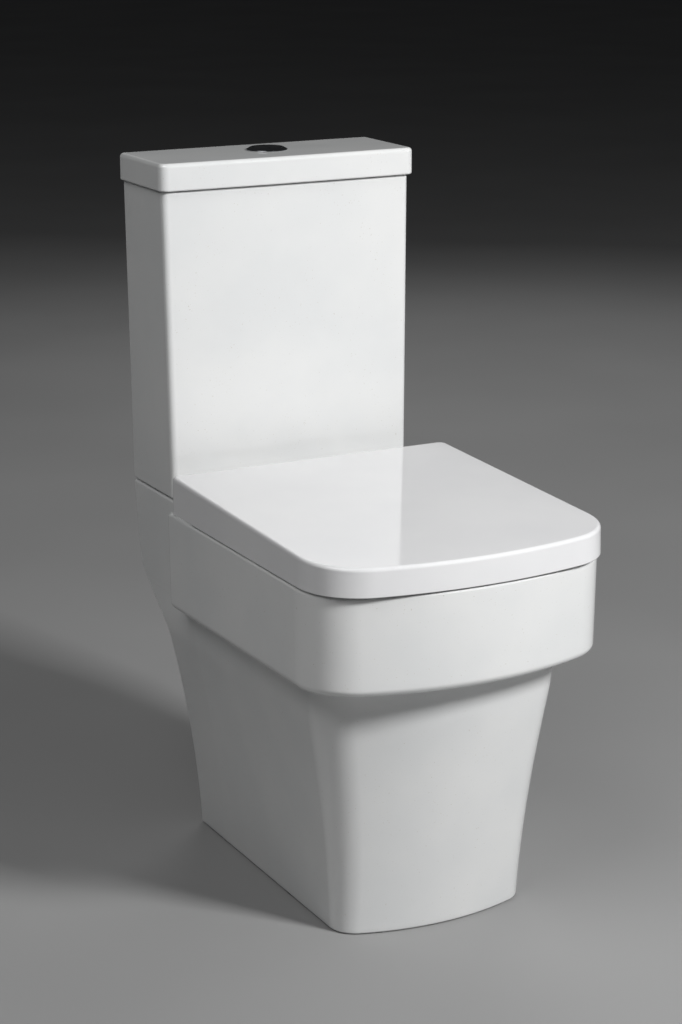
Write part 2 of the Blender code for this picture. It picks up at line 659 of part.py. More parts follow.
def make_wing_nut(name, finish, x, depth, top, height=0.010):
    """A nut with two wings, tightened by hand from below."""
    nut = cylinder(name, finish, 0.0085, (x, depth, top - height), (x, depth, top), 12)
    wings = box(name + "_wings", None, (x - 0.018, depth - 0.0015, top - height - 0.005),
                (x + 0.018, depth + 0.0015, top - 0.002))
    join(nut, wings)
    hole = ((x, depth, top - 0.03), (x, depth, top + 0.01))
    cut(nut, cylinder(name + "_bore", None, 0.0045, *hole, 12))


def make_couplings():
    """Two bolts that hold the cistern down on the pan."""
    for side, word in ((-1, "left"), (1, "right")):
        place = (side * COUPLING_X, VALVE_DEPTH)
        tube(f"coupling_washer_{word}", "rubber", *place, PLINTH_TOP + GAP, 0.011, 0.0046, 0.003, 16)
        bolt_end = 0.385
        head = PLINTH_TOP + 0.0036 - bolt_end
        profile = [
            (0, head + 0.005), (0.006, head + 0.005), (0.009, head + 0.002), (0.009, head),
            (0.004, head), (0.004, 0), (0, 0),
        ]
        turned(f"coupling_bolt_{word}", "brass", *place, bolt_end, profile, 12, closed=False)
        make_wing_nut(f"coupling_wing_nut_{word}", "brass", *place, DECK_UNDER - GAP)


# ---- seat ---------------------------------------------------------------------------------------
def cover_top(depth):
    return COVER_TOP_BACK - COVER_SLOPE * (depth - COVER_BACK)


def cover_rings(plan, lower, edge):
    """Rings up a wall to the sloping top, lowered by an amount, with a rounded top edge."""
    rings = [ring_at(plan_points(inset(plan, 0.0008)), COVER_BOTTOM - lower * 2)]
    steps = 3
    for i, z in rounded_levels(COVER_BOTTOM, 0, 0.0008, edge, steps)[steps + 1:]:
        rings.append(ring_at(plan_points(inset(plan, i)), lambda d, drop=z: cover_top(d) - lower + drop))
    return rings


def make_seat_ring():
    """The ring: rounded on top, flared round its hole, with two barrels on the hinge."""
    plan = Plan(RING_HALF, RING_BACK, RING_FRONT, 0.0680, 0.5835, 0.020)
    levels = rounded_levels(RING_BOTTOM, RING_TOP, 0.002, 0.006, 2)
    ring = loft("seat_ring", "seat", [ring_at(plan_points(inset(plan, i)), z) for i, z in levels])
    hole = (RING_HOLE_HALF, RING_HOLE_BACK, RING_HOLE_FRONT)
    flare = [(0.0, RING_BOTTOM - 0.01), (0.0, RING_TOP - 0.007), (0.0018, RING_TOP - 0.0025),
             (0.007, RING_TOP + 0.0005)]
    rings = [ring_at(oval_points(hole[0] + f, hole[1] - f, hole[2] + f, 40), z) for f, z in flare]
    cut(ring, loft("ring_hole", None, rings))
    axis = (HINGE_DEPTH, HINGE_HEIGHT)
    tail = arc(axis, LUG_RADIUS, 75, 255, 12)
    tail += [(0.2125, RING_BOTTOM + 0.004), (0.2125, RING_TOP - 0.001)]
    for side in (-1, 1):
        low_x, high_x = sorted((side * 0.0500, side * 0.0695))
        join(ring, side_prism("ring_lug", None, tail, low_x, high_x))
        bore = ((side * 0.045, *axis), (side * 0.0697, *axis))
        cut(ring, cylinder("ring_lug_bore", None, LUG_BORE, *bore, 20))
    for side, word in ((-1, "left"), (1, "right")):
        for end, depth in (("front", 0.500), ("back", 0.300)):
            x = side * (0.146 if end == "back" else 0.140)
            low = (x - 0.008, depth - 0.014, RIM_TOP + GAP)
            high = (x + 0.008, depth + 0.014, RING_BOTTOM - GAP)
            box(f"ring_buffer_{end}_{word}", "clear_rubber", low, high)


def make_seat_cover():
    """The cover: a shell over the ring, open underneath and behind, with two barrels on the hinge."""
    plan = Plan(COVER_HALF, COVER_BACK, COVER_FRONT, 0.075, 0.590, 0.011)
    cover = loft("seat_cover", "seat", cover_rings(plan, 0, 0.0045))
    inside = inset(plan, COVER_SHELL)._replace(back=0.150, back_corner=0.001)
    cut(cover, loft("cover_inside", None, cover_rings(inside, COVER_SHELL, 0.003)))
    corner = 0.010
    centre = (COVER_BACK + corner, COVER_BOTTOM + corner)
    outline = [(COVER_BACK - 0.01, COVER_BOTTOM - 0.01), (centre[0], COVER_BOTTOM - 0.01)]
    outline += arc(centre, corner, -90, -180, 6)
    outline += [(COVER_BACK - 0.01, centre[1])]
    cut(cover, side_prism("cover_corner", None, outline, -0.2, 0.2))
    axis = (HINGE_DEPTH, HINGE_HEIGHT)
    top = cover_top(HINGE_DEPTH) - COVER_SHELL + 0.0015
    tail = arc(axis, LUG_RADIUS, 180, 360, 12)
    tail += [(HINGE_DEPTH + LUG_RADIUS, top), (HINGE_DEPTH - LUG_RADIUS, top)]
    for side in (-1, 1):
        low_x, high_x = sorted((side * 0.0865, side * 0.1055))
        join(cover, side_prism("cover_lug", None, tail, low_x, high_x))
        bore = ((side * 0.0862, *axis), (side * 0.112, *axis))
        cut(cover, cylinder("cover_lug_bore", None, LUG_BORE, *bore, 20))
        word = "left" if side < 0 else "right"
        depth = 0.505
        low = (side * 0.140 - 0.006, depth - 0.006, RING_TOP + GAP)
        high = (side * 0.140 + 0.006, depth + 0.006, cover_top(depth + 0.006) - COVER_SHELL - GAP)
        box(f"cover_buffer_{word}", "clear_rubber", low, high)


def make_hinges():
    """Two pillars on the pan, each with a pin that carries the ring and the cover."""
    axis = (HINGE_DEPTH, HINGE_HEIGHT)
    foot = RIM_TOP + GAP
    for side, word in ((-1, "left"), (1, "right")):
        x = side * HINGE_X
        pillar = cylinder(f"hinge_pillar_{word}", "chrome", 0.016, (x, HINGE_DEPTH, foot),
                          (x, HINGE_DEPTH, foot + 0.004), 24)
        outline = [(HINGE_DEPTH - 0.008, foot + 0.002), (HINGE_DEPTH + 0.008, foot + 0.002)]
        outline += arc(axis, 0.008, 0, 180, 8)
        join(pillar, side_prism("pillar_post", None, outline, x - 0.008, x + 0.008))
        bore = ((x - 0.02, *axis), (x + 0.02, *axis))
        cut(pillar, cylinder("pillar_bore", None, PIN_RADIUS + 0.0004, *bore, 16))
        stud = ((x, HINGE_DEPTH, 0.42), (x, HINGE_DEPTH, 0.4405))
        cut(pillar, cylinder("stud_socket", None, 0.0045, *stud, 12))
        ends = sorted((side * 0.0490, side * 0.1060))
        cylinder(f"hinge_pin_{word}", "steel", PIN_RADIUS, (ends[0], *axis), (ends[1], *axis), 16)
        stud = ((x, HINGE_DEPTH, 0.380), (x, HINGE_DEPTH, 0.4402))
        cylinder(f"hinge_stud_{word}", "steel", 0.004, *stud, 12)
        top = DECK_UNDER - GAP
        tube(f"stud_washer_{word}", "rubber", x, HINGE_DEPTH, top - 0.003, 0.013, 0.0046, 0.003, 16)
        make_wing_nut(f"stud_wing_nut_{word}", "white_plastic", x, HINGE_DEPTH, top - 0.003 - GAP)
        for owner, low, high in (("ring", 0.0500, 0.0694), ("cover", 0.0866, 0.1055)):
            kind = "damper" if (owner == "ring") == (side < 0) else "bush"
            name = f"{owner}_{kind}_{word}"
            ends = sorted((side * low, side * high))
            sleeve = cylinder(name, "grey_plastic", 0.0061, (ends[0], *axis), (ends[1], *axis), 16)
            bore = ((ends[0] - 0.01, *axis), (ends[1] + 0.01, *axis))
            cut(sleeve, cylinder(name + "_bore", None, 0.0045, *bore, 16))


clear_scene()
PARTS = new_collection("close_coupled_toilet")
CUTTERS = new_collection("cutters")
make_skirt()
make_bowl()
make_cistern()
make_lid()
make_flush_button()
make_flush_valve()
make_fill_valve()
make_couplings()
make_seat_ring()
make_seat_cover()
make_hinges()
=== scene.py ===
"""The looks of the close coupled toilet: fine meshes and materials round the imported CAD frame.

Metres, +Z up. The front faces -Y, the wall is at WALL, and depths are distances from the wall.
Every piece has the place and the driving sizes of the CAD node that it stands for.
"""

import json
import math
from collections import namedtuple

import bmesh
import bpy
from mathutils import Matrix, Vector

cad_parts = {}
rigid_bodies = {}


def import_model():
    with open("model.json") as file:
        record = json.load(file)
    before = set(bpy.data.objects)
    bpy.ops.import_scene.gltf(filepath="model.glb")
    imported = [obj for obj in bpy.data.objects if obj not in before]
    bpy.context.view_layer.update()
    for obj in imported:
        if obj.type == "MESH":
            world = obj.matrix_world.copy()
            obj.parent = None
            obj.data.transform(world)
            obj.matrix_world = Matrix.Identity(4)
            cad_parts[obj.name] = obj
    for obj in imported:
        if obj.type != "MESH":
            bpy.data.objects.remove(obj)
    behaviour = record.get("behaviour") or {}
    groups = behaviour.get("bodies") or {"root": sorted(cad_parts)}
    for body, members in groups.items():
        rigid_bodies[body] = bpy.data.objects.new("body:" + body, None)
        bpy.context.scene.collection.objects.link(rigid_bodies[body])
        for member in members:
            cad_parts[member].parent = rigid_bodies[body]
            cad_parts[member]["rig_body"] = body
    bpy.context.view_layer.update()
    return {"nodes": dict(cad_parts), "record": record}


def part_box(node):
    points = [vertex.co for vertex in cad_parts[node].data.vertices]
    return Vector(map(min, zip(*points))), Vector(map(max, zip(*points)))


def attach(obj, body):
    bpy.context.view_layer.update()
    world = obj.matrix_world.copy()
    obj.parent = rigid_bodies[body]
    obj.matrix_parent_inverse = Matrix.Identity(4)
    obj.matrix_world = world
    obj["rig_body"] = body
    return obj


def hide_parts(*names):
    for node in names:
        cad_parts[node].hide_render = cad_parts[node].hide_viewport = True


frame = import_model()

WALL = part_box("cistern_lid")[1].y
UP = Vector((0, 0, 1))
ACROSS = Vector((1, 0, 0))
BACKWARD = Vector((0, 1, 0))
SIDES = ((-1, "left"), (1, "right"))
Plan = namedtuple("Plan", "half back front corner bulge back_corner")


# ---- meshes -------------------------------------------------------------------------------------
def at(x, depth, z):
    """A point, its depth measured from the wall."""
    return Vector((x, WALL - depth, z))


def add_object(name, bm):
    """An object from a mesh, with doubled points merged and its faces turned outwards."""
    bmesh.ops.remove_doubles(bm, verts=bm.verts, dist=0.000001)
    wires = [edge for edge in bm.edges if edge.is_wire]
    bmesh.ops.delete(bm, geom=wires, context="EDGES")
    bmesh.ops.recalc_face_normals(bm, faces=bm.faces)
    mesh = bpy.data.meshes.new(name)
    bm.to_mesh(mesh)
    bm.free()
    item = bpy.data.objects.new(name, mesh)
    bpy.context.scene.collection.objects.link(item)
    return item


def apply_modifiers(item):
    graph = bpy.context.evaluated_depsgraph_get()
    item.data = bpy.data.meshes.new_from_object(item.evaluated_get(graph))
    item.modifiers.clear()


def combine(item, operation, tools):
    """Boolean the tools into the item, one after another, and remove them."""
    for tool in tools:
        modifier = item.modifiers.new(tool.name, "BOOLEAN")
        modifier.operation = operation
        modifier.object = tool
    apply_modifiers(item)
    for tool in tools:
        bpy.data.objects.remove(tool)


def cut(item, *tools):
    combine(item, "DIFFERENCE", tools)


def join(item, *tools):
    combine(item, "UNION", tools)


def gather(name, items):
    """Separate closed shapes as one object, to cut with all of them at once."""
    bm = bmesh.new()
    for item in items:
        bm.from_mesh(item.data)
        bpy.data.objects.remove(item)
    return add_object(name, bm)


def soften(item, width, segments=2, angle=35):
    """Round every edge sharper than an angle in degrees."""
    modifier = item.modifiers.new("edges", "BEVEL")
    modifier.width = width
    modifier.segments = segments
    modifier.limit_method = "ANGLE"
    modifier.angle_limit = math.radians(angle)
    apply_modifiers(item)


def loft(name, rings, wrap=False):
    """A skin through rings of points; it closes on itself, or else its two ends are capped."""
    bm = bmesh.new()
    rows = [[bm.verts.new(point) for point in ring] for ring in rings]
    pairs = list(zip(rows, rows[1:]))
    if wrap:
        pairs.append((rows[-1], rows[0]))
    else:
        bm.faces.new(rows[0])
        bm.faces.new(rows[-1])
    for low, high in pairs:
        for i, point in enumerate(low):
            j = (i + 1) % len(low)
            bm.faces.new((point, low[j], high[j], high[i]))
    return add_object(name, bm)


def lathe(name, origin, profile, steps=48, axis=UP):
    """A closed profile of radius and height turned round an axis.

    A third value in a profile point is a function of angle and height that is added to its radius.
    """
    side = axis.orthogonal().normalized()
    other = axis.cross(side)
    rings = []
    for radius, height, *ripple in profile:
        ring = []
        for i in range(steps):
            angle = 2 * math.pi * i / steps
            reach = radius + (ripple[0](angle, height) if ripple else 0)
            spoke = side * math.cos(angle) + other * math.sin(angle)
            ring.append(origin + axis * height + spoke * reach)
        rings.append(ring)
    return loft(name, rings, wrap=True)


def rod(name, start, end, radius, edge=0.0003, steps=24):
    """A round bar between two points, its ends chamfered."""
    length = (end - start).length
    profile = [(0, length), (radius - edge, length), (radius, length - edge), (radius, edge)]
    return lathe(name, start, profile + [(radius - edge, 0), (0, 0)], steps, (end - start).normalized())


def slab(name, outline, push, edge=0.0, segments=2):
    """A flat outline of points pushed through a distance, with its edges rounded."""
    bm = bmesh.new()
    face = bm.faces.new([bm.verts.new(point) for point in outline])
    pushed = bmesh.ops.extrude_face_region(bm, geom=[face])["geom"]
    moved = [v for v in pushed if isinstance(v, bmesh.types.BMVert)]
    bmesh.ops.translate(bm, verts=moved, vec=push)
    item = add_object(name, bm)
    if edge:
        soften(item, edge, segments)
    return item


def block(name, low, high, edge=0.0, segments=3):
    """A box between two corners given as x, depth and z, with its edges rounded."""
    (x, depth, z), top = low, high[2]
    outline = [at(x, depth, z), at(high[0], depth, z), at(high[0], high[1], z), at(x, high[1], z)]
    return slab(name, outline, UP * (top - z), edge, segments)


def smooth_path(path, count):
    """Points evenly spread in parameter along a Catmull-Rom curve through the path."""
    ends = [path[0]] + list(path) + [path[-1]]
    spans = len(path) - 1
    result = []
    for i in range(count + 1):
        span = min(int(i * spans / count), spans - 1)
        t = i * spans / count - span
        a, b, c, d = [Vector(p) for p in ends[span:span + 4]]
        cubic = 2 * b + (c - a) * t + (2 * a - 5 * b + 4 * c - d) * t**2
        result.append(tuple((cubic + (3 * b - a - 3 * c + d) * t**3) / 2))
    return result


def pipe(name, radius, path, steps=56, sides=40):
    """A round bar along a smooth path of depth and height in the plane x = 0."""
    centres = [at(0, depth, z) for depth, z in smooth_path(path, steps)]
    rings = []
    for i, centre in enumerate(centres):
        ahead = centres[min(i + 1, steps)] - centres[max(i - 1, 0)]
        normal = Vector((0, -ahead.z, ahead.y)).normalized()
        angles = [2 * math.pi * k / sides for k in range(sides)]
        rings.append([centre + radius * (ACROSS * math.cos(a) + normal * math.sin(a)) for a in angles])
    return loft(name, rings)


# ---- outlines -----------------------------------------------------------------------------------
def arc(centre, radius, start, end, steps):
    """Points on an arc, its angles in degrees, both ends included."""
    angles = [math.radians(start + (end - start) * i / steps) for i in range(steps + 1)]
    return [(centre[0] + radius * math.cos(a), centre[1] + radius * math.sin(a)) for a in angles]


def rounded(points, radius, steps=4):
    """A closed outline with its corners rounded, but not those on a lathe's axis."""
    result = []
    for i, corner in enumerate(points):
        here = Vector(corner[:2])
        before = Vector(points[i - 1][:2]) - here
        after = Vector(points[(i + 1) % len(points)][:2]) - here
        if corner[0] == 0 or abs(before.normalized().cross(after.normalized())) < 0.01:
            result.append(corner)
            continue
        reach = min(radius, before.length * 0.45, after.length * 0.45)
        start, end = here + before.normalized() * reach, here + after.normalized() * reach
        for k in range(steps + 1):
            t = k / steps
            point = start * (1 - t) ** 2 + here * 2 * t * (1 - t) + end * t * t
            result.append((*point, *corner[2:]))
    return result


def thread(radius, low, high, pitch, depth):
    """Profile points down a wall with a round-crested thread cut in it, the ends of it fading out."""
    def groove(angle, height):
        fade = min(1, (height - low) / pitch, (high - height) / pitch)
        return -depth * fade * (0.5 - 0.5 * math.cos(2 * math.pi * height / pitch - angle))
    count = round((high - low) / pitch * 5)
    return [(radius, low + (high - low) * i / count, groove) for i in range(count, -1, -1)]


def lugs(count, depth, sharpness=1.6):
    """A ripple for a lathe: a number of lugs with hollows of a depth between them."""
    def ripple(angle, height):
        return -depth * (1 - min(max(0.5 + sharpness * math.cos(count * angle), 0), 1))
    return ripple


def flats(count, radius):
    """A ripple for a lathe that turns a circle into a polygon, such as a hexagon."""
    half = math.pi / count
    return lambda angle, height: radius * (math.cos(half) / math.cos(angle % (2 * half) - half) - 1)


def inset(plan, amount):
    """The plan drawn in by an amount all round."""
    return Plan(
        plan.half - amount,
        plan.back + amount,
        plan.front - amount,
        max(plan.corner - amount, 0.002),
        plan.bulge - amount,
        max(plan.back_corner - amount, 0.001),
    )


def front_points(plan, corner_steps, front_steps):
    """Half of a front, in x and depth: a rounded corner, then a bow up to the middle."""
    bulge_centre = plan.front - plan.bulge
    reach = math.sqrt((plan.bulge - plan.corner) ** 2 - (plan.half - plan.corner) ** 2)
    centre = (plan.half - plan.corner, bulge_centre + reach)
    meet = math.degrees(math.atan2(reach, plan.half - plan.corner))
    corner = arc(centre, plan.corner, 0, meet, corner_steps)
    return corner + arc((0, bulge_centre), plan.bulge, meet, 90, front_steps)[1:-1] + [(0, plan.front)]


def back_points(plan, steps):
    """Half of a back, in x and depth: its rounded corner."""
    centre = (plan.half - plan.back_corner, plan.back + plan.back_corner)
    return arc(centre, plan.back_corner, -90, 0, steps)


def mirrored(half):
    """A closed outline from its right half, whose last point is on the middle line."""
    return half + [(-x, depth) for x, depth in reversed(half[:-1])]


def plan_points(plan, corner_steps=14, front_steps=10, back_steps=6):
    return mirrored(back_points(plan, back_steps) + front_points(plan, corner_steps, front_steps))


def oval_radius(angle, half, reach, squareness=2.3):
    """From the centre to an oval that is a little squarer than an ellipse."""
    x, y = abs(math.cos(angle) / half), abs(math.sin(angle) / reach)
    return (x**squareness + y**squareness) ** (-1 / squareness)


def oval_points(half, back, front, count=96):
    centre, reach = (back + front) / 2, (front - back) / 2
    points = []
    for i in range(count):
        angle = 2 * math.pi * i / count
        radius = oval_radius(angle, half, reach)
        points.append((radius * math.cos(angle), centre + radius * math.sin(angle)))
    return points


def ring_at(points, height):
    """Outline points raised to a height, which may be a function of the depth."""
    level = height if callable(height) else lambda depth: height
    return [at(x, depth, level(depth)) for x, depth in points]


def walls(name, plan_at, levels, *counts):
    """A solid from pairs of inset and height, and the plan at each height."""
    return loft(name, [ring_at(plan_points(inset(plan_at(z), i), *counts), z) for i, z in levels])


def rounded_levels(low, high, low_radius, high_radius, steps=6):
    """Pairs of inset and height up a wall whose bottom and top edges are rounded."""
    turns = [math.pi / 2 * i / steps for i in range(steps + 1)]
    levels = [(low_radius * (1 - math.sin(a)), low + low_radius * (1 - math.cos(a))) for a in turns]
    return levels + [
        (high_radius * (1 - math.cos(a)), high - high_radius * (1 - math.sin(a))) for a in turns
    ]


# ---- materials ----------------------------------------------------------------------------------
class Recipe:
    """A Principled material whose colour, roughness and relief come from procedural textures."""

    def __init__(self, name, **settings):
        self.material = bpy.data.materials.new(name)
        self.material.use_nodes = True
        self.tree = self.material.node_tree
        self.shader = self.tree.nodes["Principled BSDF"]
        self.place = self.tree.nodes.new("ShaderNodeTexCoord").outputs["Object"]
        for key, value in settings.items():
            socket = key.replace("_", " ").title().replace("Ior", "IOR")
            self.shader.inputs[socket].default_value = value

    def noise(self, scale, detail=2.0, stretch=(1, 1, 1)):
        """Noise with so many features to a metre, stretched along an axis by a smaller factor."""
        mapping = self.tree.nodes.new("ShaderNodeMapping")
        mapping.inputs["Scale"].default_value = stretch
        texture = self.tree.nodes.new("ShaderNodeTexNoise")
        texture.inputs["Scale"].default_value = scale
        texture.inputs["Detail"].default_value = detail
        self.tree.links.new(self.place, mapping.inputs["Vector"])
        self.tree.links.new(mapping.outputs["Vector"], texture.inputs["Vector"])
        return texture.outputs["Fac"]

    def ramp(self, value, *stops):
        """Colours blended by a value; each stop is a position and a colour or a grey."""
        node = self.tree.nodes.new("ShaderNodeValToRGB")
        while len(node.color_ramp.elements) < len(stops):
            node.color_ramp.elements.new(0.5)
        for element, (position, colour) in zip(node.color_ramp.elements, stops):
            element.position = position
            element.color = (*colour, 1) if isinstance(colour, tuple) else (colour, colour, colour, 1)
        self.tree.links.new(value, node.inputs["Fac"])
        return node.outputs["Color"]

    def mix(self, share, first, second):
        node = self.tree.nodes.new("ShaderNodeMix")
        node.data_type = "RGBA"
        self.tree.links.new(share, node.inputs["Factor"])
        self.tree.links.new(first, node.inputs["A"])
        self.tree.links.new(second, node.inputs["B"])
        return node.outputs["Result"]

    def drive(self, socket, value):
        self.tree.links.new(value, self.shader.inputs[socket])

    def vary(self, socket, noise, *stops):
        """A socket that follows a ramp over noise, which is given as its scale, detail and stretch."""
        self.drive(socket, self.ramp(self.noise(*noise), *stops))

    def relief(self, height, *noise):
        """Bumps of noise, with a height in metres, over any that are there already."""
        node = self.tree.nodes.new("ShaderNodeBump")
        node.inputs["Distance"].default_value = height
        node.inputs["Strength"].default_value = 1.0
        self.tree.links.new(self.noise(*noise), node.inputs["Height"])
        normal = self.shader.inputs["Normal"]
        if normal.links:
            self.tree.links.new(normal.links[0].from_socket, node.inputs["Normal"])
        self.tree.links.new(node.outputs["Normal"], normal)


def surface(name, tint, dulling, *reliefs, **settings):
    """A material whose colour and roughness are each a noise and its stops, with some reliefs."""
    made = Recipe(name, **settings)
    made.vary("Base Color", *tint)
    made.vary("Roughness", *dulling)
    for relief in reliefs:
        made.relief(*relief)
    return made.material


def glaze():
    """White glaze: faint clouding, a few pinholes, and the slow waves of a poured casting."""
    made = Recipe("china_glaze", roughness=0.07, ior=1.52, coat_weight=0.35, coat_roughness=0.03)
    cloud = made.ramp(made.noise(9, 3), (0.35, (0.79, 0.8, 0.8)), (0.65, (0.83, 0.835, 0.83)))
    pinhole = made.ramp(made.noise(620, 0), (0.16, 1.0), (0.19, 0.0))
    speck = made.ramp(made.noise(40, 1), (0.4, (0.66, 0.64, 0.6)), (0.6, (0.72, 0.71, 0.69)))
    made.drive("Base Color", made.mix(pinhole, cloud, speck))
    made.vary("Roughness", (14, 3), (0.35, 0.055), (0.7, 0.11))
    made.relief(0.00035, 11, 1)
    made.relief(0.000004, 260, 2)
    return made.material


def biscuit():
    """The unglazed, fired body inside the castings: cream, dusty and slightly grainy."""
    made = Recipe("china_biscuit", roughness=0.8, ior=1.45)
    tone = made.ramp(made.noise(12, 4), (0.35, (0.6, 0.57, 0.51)), (0.65, (0.7, 0.67, 0.61)))
    grain = made.ramp(made.noise(700, 3), (0.4, (0.55, 0.52, 0.46)), (0.55, (0.7, 0.68, 0.63)))
    made.drive("Base Color", made.mix(made.noise(90, 2), tone, grain))
    made.vary("Roughness", (200, 2), (0.3, 0.7), (0.7, 0.92))
    made.relief(0.00006, 900, 3)
    return made.material


def brass():
    """Turned brass that has begun to dull in patches."""
    made = Recipe("turned_brass", metallic=1.0, roughness=0.3)
    bright = made.ramp(made.noise(500, 2), (0.3, (0.66, 0.47, 0.2)), (0.7, (0.78, 0.6, 0.29)))
    dull = made.ramp(made.noise(250, 3), (0.3, (0.34, 0.24, 0.12)), (0.7, (0.48, 0.36, 0.18)))
    patches = made.ramp(made.noise(80, 4), (0.45, 0.0), (0.68, 1.0))
    made.drive("Base Color", made.mix(patches, bright, dull))
    made.vary("Roughness", (80, 4), (0.4, 0.2), (0.7, 0.48))
    made.relief(0.000008, 1600, 2, (1, 1, 0.1))
    return made.material


def moulded(name, dark, light, gloss=0.34):
    """Injection moulded plastic: a faint flow pattern and a fine spark-eroded texture."""
    return surface(
        name,
        ((35, 3, (1, 1, 0.35)), (0.35, dark), (0.68, light)),
        ((300, 3), (0.3, gloss - 0.06), (0.7, gloss + 0.1)),
        (0.000012, 2200, 2),
        roughness=gloss, ior=1.49,
    )


GLAZE, BISCUIT = glaze(), biscuit()
FINISHES = {
    "china": GLAZE,
    # pressed white plastic: high gloss with a very fine orange peel
    "seat": surface(
        "seat_thermoset",
        ((7, 3), (0.35, (0.8, 0.8, 0.81)), (0.65, (0.835, 0.835, 0.84))),
        ((60, 4), (0.35, 0.06), (0.75, 0.1)),
        (0.00008, 8, 1), (0.000002, 480, 1),
        roughness=0.07, ior=1.48, coat_weight=0.1, coat_roughness=0.02,
    ),
    # plated, with light wiping marks and a trace of water spots
    "chrome": surface(
        "chrome_plate",
        ((120, 3), (0.3, (0.56, 0.57, 0.59)), (0.7, (0.68, 0.69, 0.71))),
        ((300, 4, (1, 0.15, 1)), (0.35, 0.05), (0.75, 0.16)),
        (0.000003, 1500, 2, (1, 0.2, 1)),
        metallic=1.0, roughness=0.08,
    ),
    # drawn, with fine lines along X, where the pins and their rods run
    "steel": surface(
        "drawn_steel",
        ((900, 3, (0.05, 1, 1)), (0.3, (0.44, 0.44, 0.45)), (0.7, (0.62, 0.62, 0.63))),
        ((500, 3, (0.1, 1, 1)), (0.3, 0.22), (0.7, 0.42)),
        (0.00001, 1800, 2, (0.05, 1, 1)),
        metallic=1.0, roughness=0.3,
    ),
    "brass": brass(),
    # with a dusty bloom
    "rubber": surface(
        "black_rubber",
        ((160, 4), (0.35, (0.018, 0.018, 0.019)), (0.75, (0.05, 0.049, 0.048))),
        ((240, 3), (0.3, 0.62), (0.7, 0.88)),
        (0.00002, 1400, 3),
        roughness=0.75, specular_ior_level=0.35,
    ),
    # milky, cloudy where it is thick
    "clear_rubber": surface(
        "clear_rubber",
        ((220, 3), (0.35, (0.6, 0.61, 0.61)), (0.7, (0.74, 0.75, 0.75))),
        ((400, 2), (0.3, 0.34), (0.7, 0.5)),
        (0.00001, 1100, 2),
        roughness=0.4, ior=1.43, subsurface_weight=0.4, subsurface_scale=0.003,
    ),
    "white_plastic": moulded("white_moulding", (0.7, 0.71, 0.71), (0.78, 0.79, 0.79)),
    "grey_plastic": moulded("grey_moulding", (0.27, 0.29, 0.31), (0.35, 0.37, 0.39)),
    "blue_plastic": moulded("blue_moulding", (0.055, 0.16, 0.4), (0.085, 0.23, 0.52)),
}
SLOTS = {part["node"]: part["material_slot"] for part in frame["record"]["subparts"]}


def finish(item, node, sharp=32, also=()):
    """The piece takes its node's place, body and material, and is shaded smooth off sharp edges."""
    item.name = f"{node}_fine"
    mesh = item.data
    mesh.name = item.name
    slot = SLOTS[node]
    if not mesh.materials:
        mesh.materials.append(FINISHES[slot])
    mesh.shade_smooth()
    mesh.set_sharp_from_angle(angle=math.radians(sharp))
    weighting = item.modifiers.new("weighting", "WEIGHTED_NORMAL")
    weighting.keep_sharp = True
    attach(item, frame["nodes"][node]["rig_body"])
    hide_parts(node, *also)


def glazed(item, raw=False):
    """Both china materials on a shape, its faces glazed or raw; a Boolean keeps which is which."""
    item.data.materials.append(GLAZE)
    item.data.materials.append(BISCUIT)
    for face in item.data.polygons:
        face.material_index = int(raw)
    return item


def stand(node):
    """The bottom and the height of a node's CAD box."""
    low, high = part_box(node)
    return low.z, high.z - low.z


def turned(node, x, depth, profile, steps, sharp=32):
    """A finished piece from a lathe, which stands on the bottom of its node's CAD box."""
    finish(lathe(node, at(x, depth, stand(node)[0]), profile, steps), node, sharp)


def make_washer(node, x, depth, outer, bore, corner=0.0008, steps=40):
    """A flat ring as high as its node, with its edges rounded."""
    height = stand(node)[1]
    section = rounded([(outer, height), (outer, 0), (bore, 0), (bore, height)], corner)
    turned(node, x, depth, section, steps)


def make_buffer(node):
    """A soft block as big as its node, with its edges well rounded."""
    low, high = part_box(node)
    corners = ((low.x, WALL - high.y, low.z), (high.x, WALL - low.y, high.z))
    finish(block(node, *corners, 0.0016, 4), node, 60)


def drill(depth, low, length, radius, steps=64):
    """A plain upright cutter at x = 0."""
    return lathe("drill", at(0, depth, low), [(0, length), (radius, length), (radius, 0), (0, 0)], steps)


# ---- pan ----------------------------------------------------------------------------------------
CHINA = 0.01
RIM_TOP = 0.4305
DECK_UNDER = RIM_TOP - 0.018
RIM_EDGE = 0.003
VALVE_DEPTH = 0.0615
FILL_X = 0.114
COUPLING_X = 0.066
HINGE_X = 0.078
HINGE_DEPTH = 0.19
HINGE_HEIGHT = 0.456
HINGE_AXIS = (HINGE_DEPTH, HINGE_HEIGHT)
TRAP_BORE = 0.034
INLET_BORE = 0.024
PIPE_WALL = 0.009              # china round the trap and the flush duct
BLOCK_HALF = 0.1603
APRON_BOTTOM = 0.3152
APRON_EDGE = 0.009
APRON_TAPER = 0.0015
APRON_CLIMB = 0.015            # the apron's lower edge climbs this much per metre forwards
APRON_LEVEL = 0.46             # the depth where it is at APRON_BOTTOM
PEDESTAL_TAPER = 0.18
APRON = Plan(0.187, 0.1645, 0.5972, 0.073, 0.402, 0.004)
STEP_EDGE = 0.006              # the vertical corner where the apron steps out from the block
STEP_FILLET = 0.003
STEP_LOW_ROUND = 0.009         # the apron's back edge, rounded into its underside
NECK_FILLET = 0.012            # from the pedestal out under the apron
SUMP_TOP = 0.165
SUMP_FLOOR = 0.118
SPIGOT_HEIGHT = 0.18
SPIGOT_END = 0.03
# how the foot grows with height: shares of z and of z squared
FOOT_FLARE = (0.051, 0.347)
FOOT_RAKE = (0.1, 0.156)


def smooth_least(a, b, softness):
    return (a + b - math.hypot(a - b, softness)) / 2


